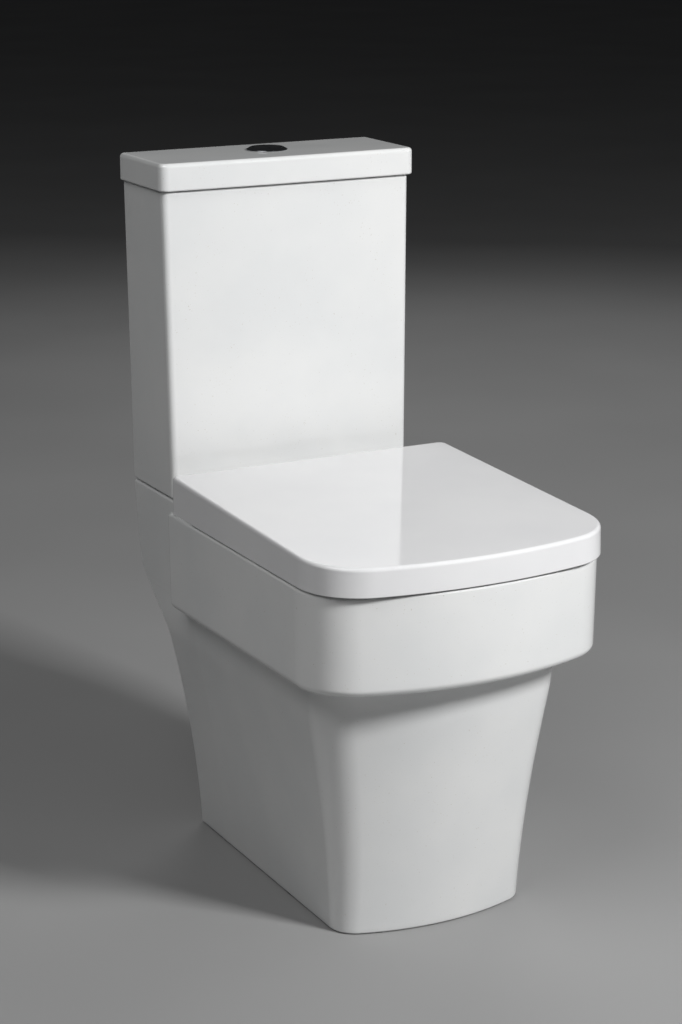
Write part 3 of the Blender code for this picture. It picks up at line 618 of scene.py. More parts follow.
def back_edge(z):
    """Depth of the skirt's back edge: upright at the foot, then sloping out to the wall."""
    foot, slope, block = 0.105 - 0.03 * z, 0.0193 + (0.332 - z) * 1.15, (RIM_TOP - z) * 0.17
    return -smooth_least(-smooth_least(foot, slope, 0.013), -block, 0.002)


def pedestal_plan(z):
    """The foot flares upwards, and its back edge comes out to the wall under the cistern."""
    return Plan(
        half=smooth_least(0.1224 + FOOT_FLARE[0] * z + FOOT_FLARE[1] * z * z, BLOCK_HALF, 0.003),
        back=max(back_edge(z), 0),
        front=0.5085 + FOOT_RAKE[0] * z + FOOT_RAKE[1] * z * z,
        corner=0.034 + 0.08 * z,
        bulge=0.3 + 0.1 * z,
        back_corner=0.004,
    )


def narrowed(points, z):
    """A level of the pedestal, which is as wide as the block at its back and tapers forwards."""
    plan = pedestal_plan(z)
    share = [min(max((depth - plan.back) / (plan.front - plan.back), 0), 1) for x, depth in points]
    return [(x * (1 - PEDESTAL_TAPER * z * t * t), depth) for (x, depth), t in zip(points, share)]


def edge_lift(z, depth):
    """How far a level is raised near the apron's lower edge, which climbs towards the front."""
    level = max(1 - abs(z - APRON_BOTTOM) / 0.07, 0)
    return APRON_CLIMB * (depth - APRON_LEVEL) * level * level * (3 - 2 * level)


def apron_plan(z):
    """The apron tapers a little downwards, and its back edge is rounded at both ends."""
    drop = min((RIM_TOP - z) / (RIM_TOP - APRON_BOTTOM), 1)
    rise = min(max(z - APRON_BOTTOM, 0), STEP_LOW_ROUND)
    low_round = STEP_LOW_ROUND - math.sqrt(STEP_LOW_ROUND**2 - (STEP_LOW_ROUND - rise) ** 2)
    return APRON._replace(
        half=APRON.half - APRON_TAPER * drop,
        front=APRON.front - APRON_TAPER * drop,
        back=APRON.back + low_round,
    )


def pan_ring(z, drawn_in=0.0, reach=None):
    """A level of the pan's outside: the pedestal, stepped out towards the apron by a reach.

    reach turns the distance between pedestal and apron into the distance stepped out.
    """
    body, band = inset(pedestal_plan(z), drawn_in), inset(apron_plan(z), drawn_in)
    back = back_points(body, 6)
    step = arc((body.half + STEP_FILLET, band.back - STEP_FILLET), STEP_FILLET, 180, 90, 4)
    step += arc((band.half - STEP_EDGE, band.back + STEP_EDGE), STEP_EDGE, -90, 0, 8)
    inner = narrowed(back + [(body.half, depth) for x, depth in step] + front_points(body, 14, 12), z)
    outer = back + step + front_points(band, 14, 12)
    half = []
    for near, far in zip(inner, outer):
        way = Vector(far) - Vector(near)
        stretch = reach(way.length) / way.length if reach and way.length > 1e-9 else 0
        half.append(tuple(Vector(near) + way * stretch))
    return ring_at(mirrored(half), lambda depth: z + edge_lift(z, depth))


def pan_rings():
    """From the foot up the pedestal, out under the apron, up its side and in over the rim."""
    rings = [pan_ring(z, i) for i, z in rounded_levels(0, 1, 0.003, 0, 4)[:5]]
    neck = APRON_BOTTOM - NECK_FILLET
    pedestal_levels = 56
    low = 0.008
    rings += [pan_ring(low + (neck - low) * i / pedestal_levels) for i in range(pedestal_levels + 1)]
    for i in range(1, 13):
        angle = math.pi / 2 * i / 12
        height = neck + NECK_FILLET * math.sin(angle)
        out = 1 - math.cos(angle)
        rings.append(pan_ring(height, reach=lambda gap, o=out: o * min(NECK_FILLET, gap * 0.4)))
    for i in range(9):
        angle = math.pi / 2 * i / 8
        short = APRON_EDGE * (1 - math.sin(angle))
        height = APRON_BOTTOM + APRON_EDGE * (1 - math.cos(angle))
        rings.append(pan_ring(height, reach=lambda gap, s=short: gap - min(s, gap * 0.45)))
    side_levels = 14
    low, high = APRON_BOTTOM + APRON_EDGE, RIM_TOP - RIM_EDGE
    for i in range(1, side_levels + 1):
        rings.append(pan_ring(low + (high - low) * i / side_levels, reach=lambda gap: gap))
    for i, z in rounded_levels(0, RIM_TOP, 0, RIM_EDGE, 5)[7:]:
        rings.append(pan_ring(z, i, reach=lambda gap: gap))
    return rings


def bowl_ring(z, wall):
    """A level of the bowl: wide at the rim, drawn in to the sump; wall is added all round."""
    if z < SUMP_TOP:
        t = (SUMP_TOP - z) / (SUMP_TOP - SUMP_FLOOR)
        shrink, lean = math.sqrt(max(1 - t * t, 0)), t * (1 - t)
        half = 0.048 * shrink - 0.025 * lean
        back, front = 0.3325 - 0.0525 * shrink + 0.011 * lean, 0.3325 + 0.0525 * shrink - 0.04 * lean
    else:
        fall = (RIM_TOP - z) / (RIM_TOP - SUMP_TOP)
        half = 0.048 + 0.073 * (1 - fall**1.9)
        back = 0.28 - 0.032 * (1 - fall**2)
        front = 0.385 + 0.175 * (1 - fall**1.3)
    return half + wall, back - wall, front + wall


def bowl_shape(name, wall):
    """The bowl's inside, or its outside when a wall is given."""
    top = RIM_TOP - 0.006
    sides, sump = 30, 14
    rings = []
    if not wall:
        flare = 0.006
        for i in range(7):
            angle = math.radians(10 + 80 * i / 6)
            out = flare * (1 - math.sin(angle))
            level = RIM_TOP + 0.0001 - flare * (1 - math.cos(angle))
            rings.append(ring_at(oval_points(*bowl_ring(RIM_TOP, out)), level))
        rings.insert(0, ring_at(oval_points(*bowl_ring(RIM_TOP, 0.007)), RIM_TOP + 0.002))
    for i in range(sides + 1):
        z = top + (SUMP_TOP - top) * i / sides
        rings.append(ring_at(oval_points(*bowl_ring(z, wall)), z))
    for i in range(1, sump + 1):
        t = math.sin(math.pi / 2 * i / sump)
        z = SUMP_TOP + (SUMP_FLOOR - SUMP_TOP) * min(t, 0.998)
        rings.append(ring_at(oval_points(*bowl_ring(z, wall)), z - wall * t))
    return loft(name, rings)


def make_pan():
    """One casting: skirted pedestal, apron, bowl, trap and spigot, open below and behind."""
    pan = glazed(loft("pan", pan_rings()))
    heights = [-0.02] + [0.02 * i for i in range(1, 20)] + [DECK_UNDER]
    plans = [inset(pedestal_plan(z), CHINA)._replace(back=-0.03) for z in heights]
    hollow = loft("hollow", [
        ring_at(narrowed(plan_points(p, 8, 6, 1), max(z, 0)), z) for p, z in zip(plans, heights)])
    band = inset(APRON._replace(back_corner=0.012), CHINA)
    levels = (APRON_BOTTOM + CHINA, DECK_UNDER - 0.0005)
    band_hollow = loft("band_hollow", [ring_at(plan_points(band, 8, 6), z) for z in levels])
    cut(pan, glazed(hollow, True), glazed(band_hollow, True))

    trap_path = [
        (0.335, 0.175), (0.3, 0.128), (0.262, 0.112), (0.226, 0.132), (0.203, 0.18),
        (0.18, 0.222), (0.145, 0.226), (0.112, 0.194), (0.085, SPIGOT_HEIGHT),
    ]
    inlet_path = [
        (VALVE_DEPTH, 0.424), (VALVE_DEPTH, 0.402), (0.082, 0.376), (0.125, 0.364), (0.19, 0.37),
        (0.262, 0.38),
    ]
    spigot = rounded([(0.0, 0.0), (0.051, 0.0), (0.051, 0.042), (0.0, 0.042)], 0.0025)
    spigot = lathe("spigot", at(0, 0.072, SPIGOT_HEIGHT), spigot, 64, BACKWARD)
    outsides = (
        bowl_shape("bowl_outside", CHINA),
        pipe("trap_outside", TRAP_BORE + PIPE_WALL, trap_path + [(SPIGOT_END + 0.006, SPIGOT_HEIGHT)]),
        spigot,
        pipe("inlet_outside", INLET_BORE + PIPE_WALL, inlet_path, 32),
    )
    join(pan, *[glazed(shape, True) for shape in outsides])
    trap = pipe("trap_bore", TRAP_BORE, trap_path + [(SPIGOT_END - 0.01, SPIGOT_HEIGHT)])
    inlet_bore_path = [(VALVE_DEPTH, 0.45)] + inlet_path[1:-1] + [(0.275, 0.381)]
    inlet = pipe("inlet_bore", INLET_BORE, inlet_bore_path, 36)
    seat = [(0, 0.03), (0.044, 0.03), (0.044, 0.001), (0.043, 0), (0, 0)]
    seat = lathe("gasket_seat", at(0, VALVE_DEPTH, 0.4205), seat, 64)
    cut(pan, *[glazed(shape) for shape in (bowl_shape("bowl_inside", 0), trap, inlet, seat)])
    holes = []
    for side, _ in SIDES:
        for x, depth, radius in (
            (COUPLING_X, VALVE_DEPTH, 0.006), (HINGE_X, HINGE_DEPTH, 0.007), (FILL_X, VALVE_DEPTH, 0.022),
        ):
            holes.append(lathe("hole", at(side * x, depth, 0.4), [
                (0, 0.05), (radius + 0.003, 0.05), (radius + 0.0012, RIM_TOP - 0.4),
                (radius, RIM_TOP - 0.4012), (radius, 0), (0, 0)], 40))
        low, high = (side * 0.08, 0.128, 0.0005), (side * 0.114, 0.168, 0.018)
        flange = block("flange", low, high, 0.003)
        join(pan, glazed(flange, True))
        x = side * 0.096
        holes.append(rod("floor_hole", at(x, 0.148, -0.01), at(x, 0.148, 0.03), 0.0065))
    cut(pan, glazed(gather("holes", holes), True))
    finish(pan, "pan", also=("pan_bowl", "pan_trap", "pan_flush_duct"))


# ---- cistern and lid ----------------------------------------------------------------------------
CISTERN_BOTTOM = 0.4325
CISTERN_TOP = 0.8045
CISTERN_FLOOR = CISTERN_BOTTOM + CHINA
PLINTH_TOP = 0.4625
LID_BOTTOM = 0.8062
LID_TOP = 0.8388
LID_HOLE = 0.0222


def cistern_plan(z):
    """The cistern widens a little upwards while its front stays nearly upright."""
    rise = (z - CISTERN_BOTTOM) / (CISTERN_TOP - CISTERN_BOTTOM)
    return Plan(0.1603 + 0.0044 * rise, 0.0004, 0.1264 - 0.0036 * rise, 0.008, 6.0, 0.004)


def make_cistern():
    """The tank: open top, raised floor over the recess for the nut and gasket, holes for fittings."""
    levels = rounded_levels(CISTERN_BOTTOM, CISTERN_TOP, 0.003, 0.0025)
    cistern = glazed(walls("cistern", cistern_plan, levels, 8, 12))
    inner = rounded_levels(CISTERN_FLOOR, CISTERN_TOP + 0.01, 0.006, 0)[:7]
    inner += [(0, CISTERN_TOP - 0.0015), (-0.0015, CISTERN_TOP + 0.0002), (-0.0016, CISTERN_TOP + 0.01)]
    inner = [(CHINA + i, z) for i, z in inner]
    cut(cistern, glazed(walls("inside", lambda z: cistern_plan(min(z, CISTERN_TOP)), inner, 6, 12)))
    plinth = block("plinth", (-0.09, 0.006, 0.438), (0.09, 0.1165, PLINTH_TOP), 0.002)
    join(cistern, glazed(plinth))
    recess = block("recess", (-0.08, 0.014, 0.42), (0.08, 0.109, PLINTH_TOP - CHINA), 0.003)
    holes = [drill(VALVE_DEPTH, 0.42, 0.06, 0.0305)]
    for side, _ in SIDES:
        for x, radius in ((COUPLING_X, 0.0055), (FILL_X, 0.0125)):
            holes.append(rod("hole", at(side * x, VALVE_DEPTH, 0.42), at(side * x, VALVE_DEPTH, 0.48),
                             radius, steps=40))
        holes.append(rod("wall_hole", at(side * 0.1, -0.01, 0.765), at(side * 0.1, 0.03, 0.765), 0.004))
    cut(cistern, glazed(recess, True), glazed(gather("holes", holes), True))
    finish(cistern, "cistern")


def make_lid():
    """The lid: a hollow cover with softened edges and one hole for the button."""
    plan = Plan(0.1691, 0.0, 0.1302, 0.011, 6.0, 0.005)
    levels = rounded_levels(LID_BOTTOM, LID_TOP, 0.0025, 0.005, 8)
    lid = glazed(walls("lid", lambda z: plan, levels, 8, 12))
    hollow = inset(plan, 0.014)
    levels = [(0, LID_BOTTOM - 0.01), (0, LID_TOP - CHINA - 0.004)]
    levels += rounded_levels(0, LID_TOP - CHINA, 0, 0.004, 5)[7:]
    inside = walls("inside", lambda z: hollow, levels, 6, 12)
    cut(lid, glazed(inside, True), glazed(drill(VALVE_DEPTH, 0.8, 0.05, LID_HOLE)))
    finish(lid, "cistern_lid")


# ---- flush button -------------------------------------------------------------------------------
BUTTON_RADIUS = 0.0184
BUTTON_SPLIT = -0.0036         # the line between the two buttons, in X
SPLIT_GAP = 0.0004
DOME_RADIUS = 0.0174
DOME_HEIGHT = 0.0015


def make_flush_button():
    """Chrome bezel and two buttons in a threaded housing, clamped under the lid."""
    bezel = [
        (0.0198, 0.0034), (0.0204, 0.0035), (0.0222, 0.0026), (0.0238, 0.0016), (0.0252, 0.001),
        (0.0252, 0.0), (0.0194, 0.0), (0.0194, 0.003),
    ]
    turned("button_bezel", 0, VALVE_DEPTH, rounded(bezel, 0.0008), 96, 50)
    height = stand("button_housing")[1]
    housing = [(0.0215, height), *thread(0.0215, 0.003, height - 0.014, 0.0022, 0.0007)]
    housing += [(0.0206, 0.0), (0.0194, 0.0), (0.0194, height)]
    turned("button_housing", 0, VALVE_DEPTH, housing, 64)
    grip = lugs(12, 0.0016)
    nut = [(0.0229, 0.008), (0.0292, 0.008, grip), (0.03, 0.0072, grip), (0.03, 0.0008, grip),
           (0.0292, 0.0, grip), (0.0229, 0.0)]
    turned("button_clamp_nut", 0, VALVE_DEPTH, nut, 120)

    trimmed = BUTTON_RADIUS - SPLIT_GAP
    for name, side in (("full_flush_button", 1), ("half_flush_button", -1)):
        low, height = stand(name)
        dome = DOME_HEIGHT / DOME_RADIUS**2
        cap = [(0, height)]
        for k in range(1, 8):
            reach = DOME_RADIUS * k / 8
            cap.append((reach, height - dome * reach**2))
        cap += [(trimmed - 0.0008, height - 0.0017), (trimmed - 0.0002, height - 0.0021),
                (trimmed, height - 0.0027), (trimmed, 0), (0, 0)]
        button = lathe(name, at(0, VALVE_DEPTH, low), cap, 96)
        edge = BUTTON_SPLIT + side * SPLIT_GAP
        cut(button, block("half", (edge, 0.02, 0.79), (edge - side * 0.05, 0.11, 0.86)))
        soften(button, 0.0004, 2, 60)
        finish(button, name, 40)
    for name, x in (("full_push_rod", 0.0085), ("half_push_rod", -0.011)):
        length = stand(name)[1]
        profile = [(0, length), (0.0026, length)]
        profile += [*thread(0.003, 0.001, length - 0.002, 0.0016, 0.0004), (0.0024, 0), (0, 0)]
        turned(name, x, VALVE_DEPTH, profile, 20)


# ---- flush valve --------------------------------------------------------------------------------
def make_flush_valve():
    """Outlet valve: threaded tail, cage and cap, with a piston that lifts off its seat."""
    body = rounded([
        (0.0275, 0.0565), (0.0275, 0.0476), (0.04, 0.0476), (0.04, 0.0446), (0.0295, 0.0446)], 0.0008)
    body = [p for p in body if p[1] > 0.044]
    body += [*thread(0.0295, 0.002, 0.041, 0.003, 0.0011), (0.0285, 0), (0.0235, 0)]
    body += [(0.0235, 0.0555), (0.0245, 0.0565)]
    turned("flush_valve_base", 0, VALVE_DEPTH, body, 72)
    make_washer("flush_valve_washer", 0, VALVE_DEPTH, 0.039, 0.0305, 0.001, 64)
    height = stand("flush_valve_back_nut")[1]
    grip = lugs(8, 0.0036)
    nut = [(0.0335, height), (0.041, height, grip), (0.042, height - 0.001, grip), (0.042, 0.0035, grip),
           (0.0412, 0.0028, grip), (0.038, 0.0022), (0.038, 0.0004), (0.0376, 0), (0.0335, 0)]
    turned("flush_valve_back_nut", 0, VALVE_DEPTH, nut, 160)
    gasket = [
        (0.04, 0.0191), (0.043, 0.016), (0.043, 0.0125), (0.0418, 0.0115), (0.043, 0.0105),
        (0.043, 0.008), (0.0418, 0.007), (0.043, 0.006), (0.043, 0.003), (0.038, 0.0),
        (0.0302, 0.0), (0.0302, 0.0191),
    ]
    turned("coupling_gasket", 0, VALVE_DEPTH, rounded(gasket, 0.0012), 72, 60)

    low, height = stand("flush_valve_cage")
    cage = [(0.0385, height), (0.0385, height - 0.004), (0.0378, height - 0.005), (0.0378, 0.078),
            (0.0385, 0.077), (0.0385, 0.07), (0.0378, 0.069), (0.0378, 0.007), (0.0385, 0.006),
            (0.0385, 0), (0.0355, 0), (0.0355, height)]
    cage = lathe("cage", at(0, VALVE_DEPTH, low), cage, 96)
    windows = []
    for side in (-1, 1):
        depth = VALVE_DEPTH + side * 0.035
        front, back = depth - 0.012, depth + 0.012
        for low_corner, high_corner in (
            ((side * 0.02, 0.0515, 0.484), (side * 0.05, 0.0715, 0.53)),
            ((-0.01, front, 0.484), (0.01, back, 0.53)),
            ((-0.0035, front, 0.56), (0.0035, back, 0.66)),
        ):
            windows.append(block("window", low_corner, high_corner, 0.003))
    cut(cage, gather("windows", windows))
    finish(cage, "flush_valve_cage")
    low, _ = stand("flush_valve_cap")
    grip = lugs(16, 0.0009)
    cap = [(0, 0.037), (0.02, 0.037), (0.02, 0.0355), (0.03, 0.0355), (0.0335, 0.034),
           (0.0368, 0.03, grip), (0.0385, 0.0285, grip), (0.0385, 0.006, grip), (0.0385, 0.0045),
           (0.0385, 0.0005), (0.038, 0), (0, 0)]
    cap = lathe("cap", at(0, VALVE_DEPTH, low), cap, 160)
    sockets = [rod("socket", at(x, VALVE_DEPTH, 0.702), at(x, VALVE_DEPTH, 0.74), 0.0045)
               for x in (0.0085, -0.011)]
    cut(cap, gather("sockets", sockets))
    finish(cap, "flush_valve_cap")

    make_washer("flush_valve_seal", 0, VALVE_DEPTH, 0.027, 0.0125, 0.0012, 56)
    height = stand("flush_valve_piston")[1]
    piston = [
        (0.016, height), (0.016, height - 0.003), (0.0152, height - 0.004), (0.0152, 0.012),
        (0.02, 0.004), (0.0265, 0.003), (0.0265, 0), (0.012, 0), (0.012, height),
    ]
    turned("flush_valve_piston", 0, VALVE_DEPTH, rounded(piston, 0.0008), 56)


# ---- fill valve ---------------------------------------------------------------------------------
def make_side_fittings():
    """The washers and hexagon nuts of the fill valve and of the plug in the spare hole."""
    for name, side in (("fill_valve", 1), ("blanking_plug", -1)):
        x = side * FILL_X
        make_washer(f"{name}_washer", x, VALVE_DEPTH, 0.0165, 0.0112, steps=48)
        nut_name = f"{name}_back_nut" if side > 0 else f"{name}_nut"
        height = stand(nut_name)[1]
        hexagon = flats(6, 0.0185)
        nut = [(0.0128, height), (0.0172, height), (0.0178, height - 0.0006), (0.0178, height - 0.0022),
               (0.0172, height - 0.0028), (0.0183, height - 0.0032, hexagon), (0.0185, 0.001, hexagon),
               (0.0178, 0, hexagon), (0.0136, 0), (0.0128, 0.0008)]
        nut = [(p[0] - 0.0008 if len(p) > 2 else p[0], *p[1:]) for p in nut]
        turned(nut_name, x, VALVE_DEPTH, nut, 96)
    grip = lugs(10, 0.0008)
    plug = [(0, 0.032), (0.015, 0.032, grip), (0.0165, 0.0312, grip), (0.0165, 0.0281, grip),
            (0.0105, 0.0281),
            *thread(0.0105, 0.0012, 0.0265, 0.0018, 0.0007), (0.0097, 0), (0.006, 0),
            (0.006, 0.02), (0, 0.02)]
    turned("blanking_plug", -FILL_X, VALVE_DEPTH, plug, 60)


def make_fill_valve():
    """Bottom entry inlet valve: shank and stem, head, and a float that works a small lever."""
    height = stand("fill_valve_body")[1]
    body = [(0.0105, height), (0.0105, height - 0.012), (0.0098, height - 0.013), (0.0098, 0.15),
            (0.0105, 0.149), (0.0105, 0.145), (0.0098, 0.144), (0.0098, 0.068), (0.0105, 0.066),
            (0.0165, 0.0641), (0.0165, 0.0611), (0.0105, 0.0611),
            *thread(0.0105, 0.0015, 0.056, 0.0018, 0.0008), (0.0096, 0), (0.005, 0),
            (0.005, height)]
    turned("fill_valve_body", FILL_X, VALVE_DEPTH, body, 48)

    low, _ = stand("fill_valve_head")
    grip = lugs(18, 0.0006)
    head = [(0, 0.032), (0.007, 0.032), (0.008, 0.031), (0.008, 0.0105), (0.0088, 0.01),
            (0.016, 0.01, grip), (0.017, 0.0092, grip), (0.017, 0.0008, grip), (0.0164, 0, grip),
            (0, 0)]
    head = lathe("head", at(FILL_X, VALVE_DEPTH, low), head, 108)
    pivot, pin_hole, tip = 0.716, 0.002, 0.0035
    ends = (at(FILL_X, 0.04, pivot), at(FILL_X, 0.08, pivot))
    cut(head, rod("pin_hole", *ends, pin_hole))
    finish(head, "fill_valve_head")
    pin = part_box("lever_pin")
    pin = rod("pin", Vector((FILL_X, pin[0].y, pivot)), Vector((FILL_X, pin[1].y, pivot)), 0.0015)
    finish(pin, "lever_pin")

    depth = VALVE_DEPTH - 0.0125
    waist = [(0.006, tip), (0.01, 0.0022), (0.018, 0.0022), (0.02, tip)]
    waist = [(FILL_X - reach, z) for reach, z in waist]
    outline = arc((FILL_X + 0.0025, pivot), tip, 90, -90, 8) + [(x, pivot - z) for x, z in waist]
    outline += arc((FILL_X - 0.0245, pivot), tip, -90, -270, 8)
    outline += [(x, pivot + z) for x, z in reversed(waist)]
    lever = slab("lever", [at(x, depth - 0.002, z) for x, z in outline], -BACKWARD * 0.004, 0.0005)
    cut(lever, rod("lever_hole", *ends, pin_hole))
    finish(lever, "float_lever")
    low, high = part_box("float_rod")
    x = FILL_X - 0.023
    finish(rod("float_rod", at(x, depth, low.z), at(x, depth, high.z), 0.0015), "float_rod")
    cup = [
        (0.027, 0.05), (0.028, 0.049), (0.028, 0.034), (0.0274, 0.033), (0.0274, 0.03),
        (0.028, 0.029), (0.028, 0), (0.0255, 0), (0.0255, 0.047), (0.0155, 0.047), (0.0155, 0),
        (0.0125, 0), (0.0125, 0.05),
    ]
    turned("fill_valve_float", FILL_X, VALVE_DEPTH, rounded(cup, 0.0008), 64)


# ---- fastenings ---------------------------------------------------------------------------------
def wing_nut(name, x, depth):
    """A nut with two wings, tightened by hand from below."""
    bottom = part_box(name)[1].z - 0.01
    hub = [(0.0045, 0.01), (0.008, 0.01), (0.0085, 0.0095), (0.0085, 0.006), (0.0075, 0.0),
           (0.0045, 0.0)]
    nut = lathe(name, at(x, depth, bottom), rounded(hub, 0.0005), 40)
    wings = []
    for side in (-1, 1):
        outline = [(0.0055, 0.008), (0.0055, 0.001), (0.011, -0.0045)]
        outline += arc((0.015, -0.002), 0.003, -90, 60, 6) + [(0.0105, 0.006)]
        points = [at(x + side * reach, depth - 0.0015, bottom + z) for reach, z in outline]
        wings.append(slab("wing", points, -BACKWARD * 0.003, 0.0008))
    join(nut, *wings)
    finish(nut, name, 40)


def make_couplings():
    """Two bolts that hold the cistern down on the pan."""
    for side, word in SIDES:
        x = side * COUPLING_X
        make_washer(f"coupling_washer_{word}", x, VALVE_DEPTH, 0.011, 0.0046)
        name = f"coupling_bolt_{word}"
        low, height = stand(name)
        head = height - 0.005
        bolt = [(0, height), (0.0035, height - 0.0001), (0.0065, height - 0.0008),
                (0.0084, height - 0.0022), (0.009, head + 0.0006), (0.0088, head), (0.004, head),
                *thread(0.004, 0.001, head - 0.01, 0.0012, 0.0005), (0.0033, 0), (0, 0)]
        bolt = lathe(name, at(x, VALVE_DEPTH, low), bolt, 32)
        top = low + height
        slot = block("slot", (x - 0.02, VALVE_DEPTH - 0.0007, top - 0.0018),
                     (x + 0.02, VALVE_DEPTH + 0.0007, top + 0.01))
        cut(bolt, slot)
        finish(bolt, name, 38)
        wing_nut(f"coupling_wing_nut_{word}", x, VALVE_DEPTH)


def make_hinges():
    """Two pillars on the pan, each with a pin that carries the ring and the cover."""
    for side, word in SIDES:
        x = side * HINGE_X
        name = f"hinge_pillar_{word}"
        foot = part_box(name)[0].z
        base = [(0, 0.004), (0.012, 0.004), (0.0148, 0.0034), (0.016, 0.0018), (0.016, 0.0), (0, 0)]
        pillar = lathe(name, at(x, HINGE_DEPTH, foot), rounded(base, 0.0006), 64)
        outline = [(HINGE_DEPTH - 0.008, foot + 0.002), (HINGE_DEPTH + 0.008, foot + 0.002)]
        outline += arc(HINGE_AXIS, 0.008, 0, 180, 16)
        post = slab("post", [at(x - 0.008, d, z) for d, z in outline], ACROSS * 0.016, 0.0008)
        join(pillar, post)
        bore = rod("bore", at(x - 0.02, *HINGE_AXIS), at(x + 0.02, *HINGE_AXIS), 0.0045, steps=32)
        socket = rod("socket", at(x, HINGE_DEPTH, 0.42), at(x, HINGE_DEPTH, 0.4405), 0.0045)
        cut(pillar, bore, socket)
        finish(pillar, name, 38)
        name = f"hinge_pin_{word}"
        low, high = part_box(name)
        pin = rod(name, at(low.x, *HINGE_AXIS), at(high.x, *HINGE_AXIS), 0.0041, 0.0006, 32)
        finish(pin, name)
        name = f"hinge_stud_{word}"
        height = stand(name)[1]
        stud = [(0, height), (0.0036, height), (0.004, height - 0.0004),
                *thread(0.004, 0.001, height - 0.012, 0.0012, 0.0005), (0.0033, 0), (0, 0)]
        turned(name, x, HINGE_DEPTH, stud, 28)
        make_washer(f"stud_washer_{word}", x, HINGE_DEPTH, 0.013, 0.0046)
        wing_nut(f"stud_wing_nut_{word}", x, HINGE_DEPTH)
        for owner in ("ring", "cover"):
            kind = "damper" if (owner == "ring") == (side < 0) else "bush"
            name = f"{owner}_{kind}_{word}"
            low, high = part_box(name)
            width = high.x - low.x
            sleeve = [(0.0045, width), (0.0058, width), (0.0061, width - 0.0003), (0.0061, 0.0003),
                      (0.0058, 0), (0.0045, 0)]
            finish(lathe(name, at(low.x, *HINGE_AXIS), sleeve, 40, ACROSS), name)


# ---- seat ---------------------------------------------------------------------------------------
RING_BOTTOM = 0.436
RING_TOP = 0.453
LUG_RADIUS = 0.009
LUG_BORE = 0.0065
COVER = Plan(0.1864, 0.174, WALL * 2, 0.075, 0.59, 0.011)
COVER_BOTTOM = 0.4325
COVER_SHELL = 0.004
COVER_EDGE = 0.0045


def even_out(points, longest):
    """The closed outline with points added along its longer straight stretches."""
    result = []
    for start, end in zip(points, points[1:] + points[:1]):
        start, end = Vector(start), Vector(end)
        count = max(math.ceil((end - start).length / longest), 1)
        result += [tuple(start.lerp(end, i / count)) for i in range(count)]
    return result


def barrels(tail, low, high):
    """Two hinge barrels, each with a tail that runs into its owner, their bores left for later."""
    return [slab("barrel", [at(side * low, depth, z) for depth, z in tail],
                 ACROSS * side * (high - low), 0.0006) for side, _ in SIDES]


def bores(low, high):
    """The holes through the barrels on both sides, from one distance off the middle to another."""
    ends = [(at(side * low, *HINGE_AXIS), at(side * high, *HINGE_AXIS)) for side, _ in SIDES]
    return gather("bores", [rod("bore", *pair, LUG_BORE, steps=32) for pair in ends])


def ring_section(width):
    """The ring's section from its outer edge to its hole: distance in and height, closed."""
    outer, inner, low = 0.006, 0.008, 0.002
    crown = 0.0012
    section = arc((low, RING_BOTTOM + low), low, -90, -180, 4)
    section += [(p, z - crown) for p, z in arc((outer, RING_TOP - outer), outer, 180, 90, 8)]
    for i in range(1, 8):
        t = i / 8
        section.append((outer + (width - outer - inner) * t, RING_TOP - crown * (2 * t - 1) ** 2))
    section += [(p, z - crown) for p, z in arc((width - inner, RING_TOP - inner), inner, 90, 0, 10)]
    return section + arc((width - low, RING_BOTTOM + low), low, 0, -90, 4)


def make_seat_ring():
    """The ring: crowned on top, rounded into its hole, with two barrels on the hinge."""
    half, back, front = 0.115, 0.262, 0.532
    centre = Vector((0, (back + front) / 2))
    outline = even_out(plan_points(Plan(0.1795, 0.202, 0.5915, 0.068, 0.5835, 0.02)), 0.009)
    rings = []
    for point in outline:
        way = Vector(point) - centre
        radius = oval_radius(math.atan2(way.y, way.x), half, (front - back) / 2)
        width = way.length - radius
        inward = -way.normalized()
        section = ring_section(width)
        rings.append([at(*(Vector(point) + inward * p), z) for p, z in section])
    ring = loft("seat_ring", rings, wrap=True)
    tail = arc(HINGE_AXIS, LUG_RADIUS, 75, 255, 16)
    tail += [(0.2125, RING_BOTTOM + 0.004), (0.2125, RING_TOP - 0.002)]
    join(ring, *barrels(tail, 0.05, 0.0695))
    cut(ring, bores(0.045, 0.0697))
    finish(ring, "seat_ring")
    for _, word in SIDES:
        for end in ("front", "back"):
            make_buffer(f"ring_buffer_{end}_{word}")


def cover_top(depth):
    """The cover's top falls a little towards the front."""
    return 0.4775 - 0.03 * (depth - COVER.back)


def cover_skin(name, plan, lower, edge, draft):
    """The cover's skin up to its sloping top, the top edge rounded and the foot a little wider."""
    foot = COVER_BOTTOM - lower * 2
    rings = [ring_at(plan_points(inset(plan, 0.0006)), foot), ring_at(plan_points(plan), foot + 0.0008)]
    for i in range(11):
        angle = math.pi / 2 * i / 10
        drawn_in = draft + edge * (1 - math.cos(angle))
        drop = lower + edge * (1 - math.sin(angle))
        points = plan_points(inset(plan, drawn_in))
        rings.append(ring_at(points, lambda depth, d=drop: cover_top(depth) - d))
    return loft(name, rings)


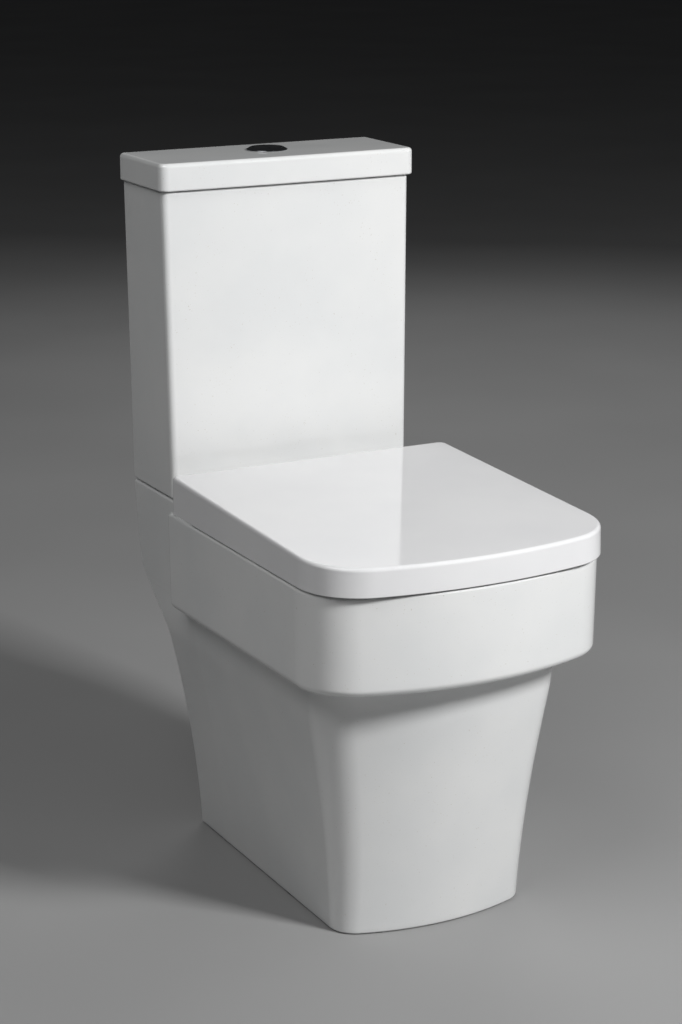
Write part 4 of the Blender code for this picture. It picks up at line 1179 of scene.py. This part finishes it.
def make_seat_cover():
    """The cover: a shell over the ring, open underneath and behind, with two barrels on the hinge."""
    cover = cover_skin("seat_cover", COVER, 0, COVER_EDGE, 0.0006)
    inside = inset(COVER, COVER_SHELL)._replace(back=0.15, back_corner=0.001)
    cut(cover, cover_skin("inside", inside, COVER_SHELL, 0.003, 0.0006))
    corner = 0.01
    centre = (COVER.back + corner, COVER_BOTTOM + corner)
    outline = [(COVER.back - 0.01, COVER_BOTTOM - 0.01), (centre[0], COVER_BOTTOM - 0.01)]
    outline += arc(centre, corner, -90, -180, 12)
    outline += [(COVER.back - 0.01, centre[1])]
    cut(cover, slab("corner", [at(-0.2, depth, z) for depth, z in outline], ACROSS * 0.4))
    top = cover_top(HINGE_DEPTH) - COVER_SHELL + 0.0015
    tail = arc(HINGE_AXIS, LUG_RADIUS, 180, 360, 16)
    tail += [(HINGE_DEPTH + LUG_RADIUS, top), (HINGE_DEPTH - LUG_RADIUS, top)]
    join(cover, *barrels(tail, 0.0865, 0.1055))
    cut(cover, bores(0.0862, 0.112))
    finish(cover, "seat_cover")
    for _, word in SIDES:
        make_buffer(f"cover_buffer_{word}")


# ---- studio -------------------------------------------------------------------------------------
def aim(item, target):
    item.rotation_euler = (Vector(target) - item.location).to_track_quat("-Z", "Y").to_euler()


def make_light(name, place, target, width, height, power, mirrored=True):
    """A soft box; one that isn't mirrored lights the toilet without a reflection of itself."""
    light = bpy.data.lights.new(name, "AREA")
    light.shape = "RECTANGLE"
    light.size = width
    light.size_y = height
    light.energy = power
    item = bpy.data.objects.new(name, light)
    item.location = place
    item.visible_glossy = mirrored
    bpy.context.scene.collection.objects.link(item)
    aim(item, target)


def make_studio():
    """Camera, a key light from the front's right, weak lights from above and behind, a pale floor."""
    camera = bpy.data.cameras.new("camera")
    camera.lens = 86.0
    camera.sensor_width = 36
    item = bpy.data.objects.new("camera", camera)
    turn = Matrix.Rotation(math.radians(-27.378), 4, "Z")
    tilt = Matrix.Rotation(math.radians(90 - 15.617), 4, "X")
    roll = Matrix.Rotation(math.radians(-0.119), 4, "Z")
    item.matrix_world = Matrix.Translation(at(-1.2932, 2.7527, 1.2152)) @ turn @ tilt @ roll
    bpy.context.scene.collection.objects.link(item)
    bpy.context.scene.camera = item

    bpy.ops.mesh.primitive_plane_add(size=80, location=(0, 0, -0.0005))
    floor = bpy.context.object
    floor.name = "floor"
    paint = Recipe("floor_paint", roughness=0.75, specular_ior_level=0.2)
    paint.vary("Base Color", (1.5, 2), (0.3, 0.31), (0.7, 0.34))
    floor.data.materials.append(paint.material)

    world = bpy.data.worlds.new("studio")
    bpy.context.scene.world = world
    world.use_nodes = True
    world.node_tree.nodes["Background"].inputs["Color"].default_value = (0.55, 0.56, 0.58, 1)
    world.node_tree.nodes["Background"].inputs["Strength"].default_value = 0.035
    key, middle = (1.0, -2.1, 1.97), (0, -0.1, 0.45)
    make_light("key", key, middle, 0.5, 0.5, 64, mirrored=False)
    make_light("gleam", key, middle, 0.5, 0.5, 9)
    make_light("overhead", (-1.7, -0.8, 2.9), (0, 0, 0.4), 1.8, 1.8, 30)
    make_light("behind", (1.8, 2.6, 2.4), (0, 0.1, 0.5), 1.8, 1.8, 26, mirrored=False)
    bpy.context.scene.view_settings.view_transform = "Standard"


make_pan()
make_cistern()
make_lid()
make_flush_button()
make_flush_valve()
make_side_fittings()
make_fill_valve()
make_couplings()
make_hinges()
make_seat_ring()
make_seat_cover()
make_studio()
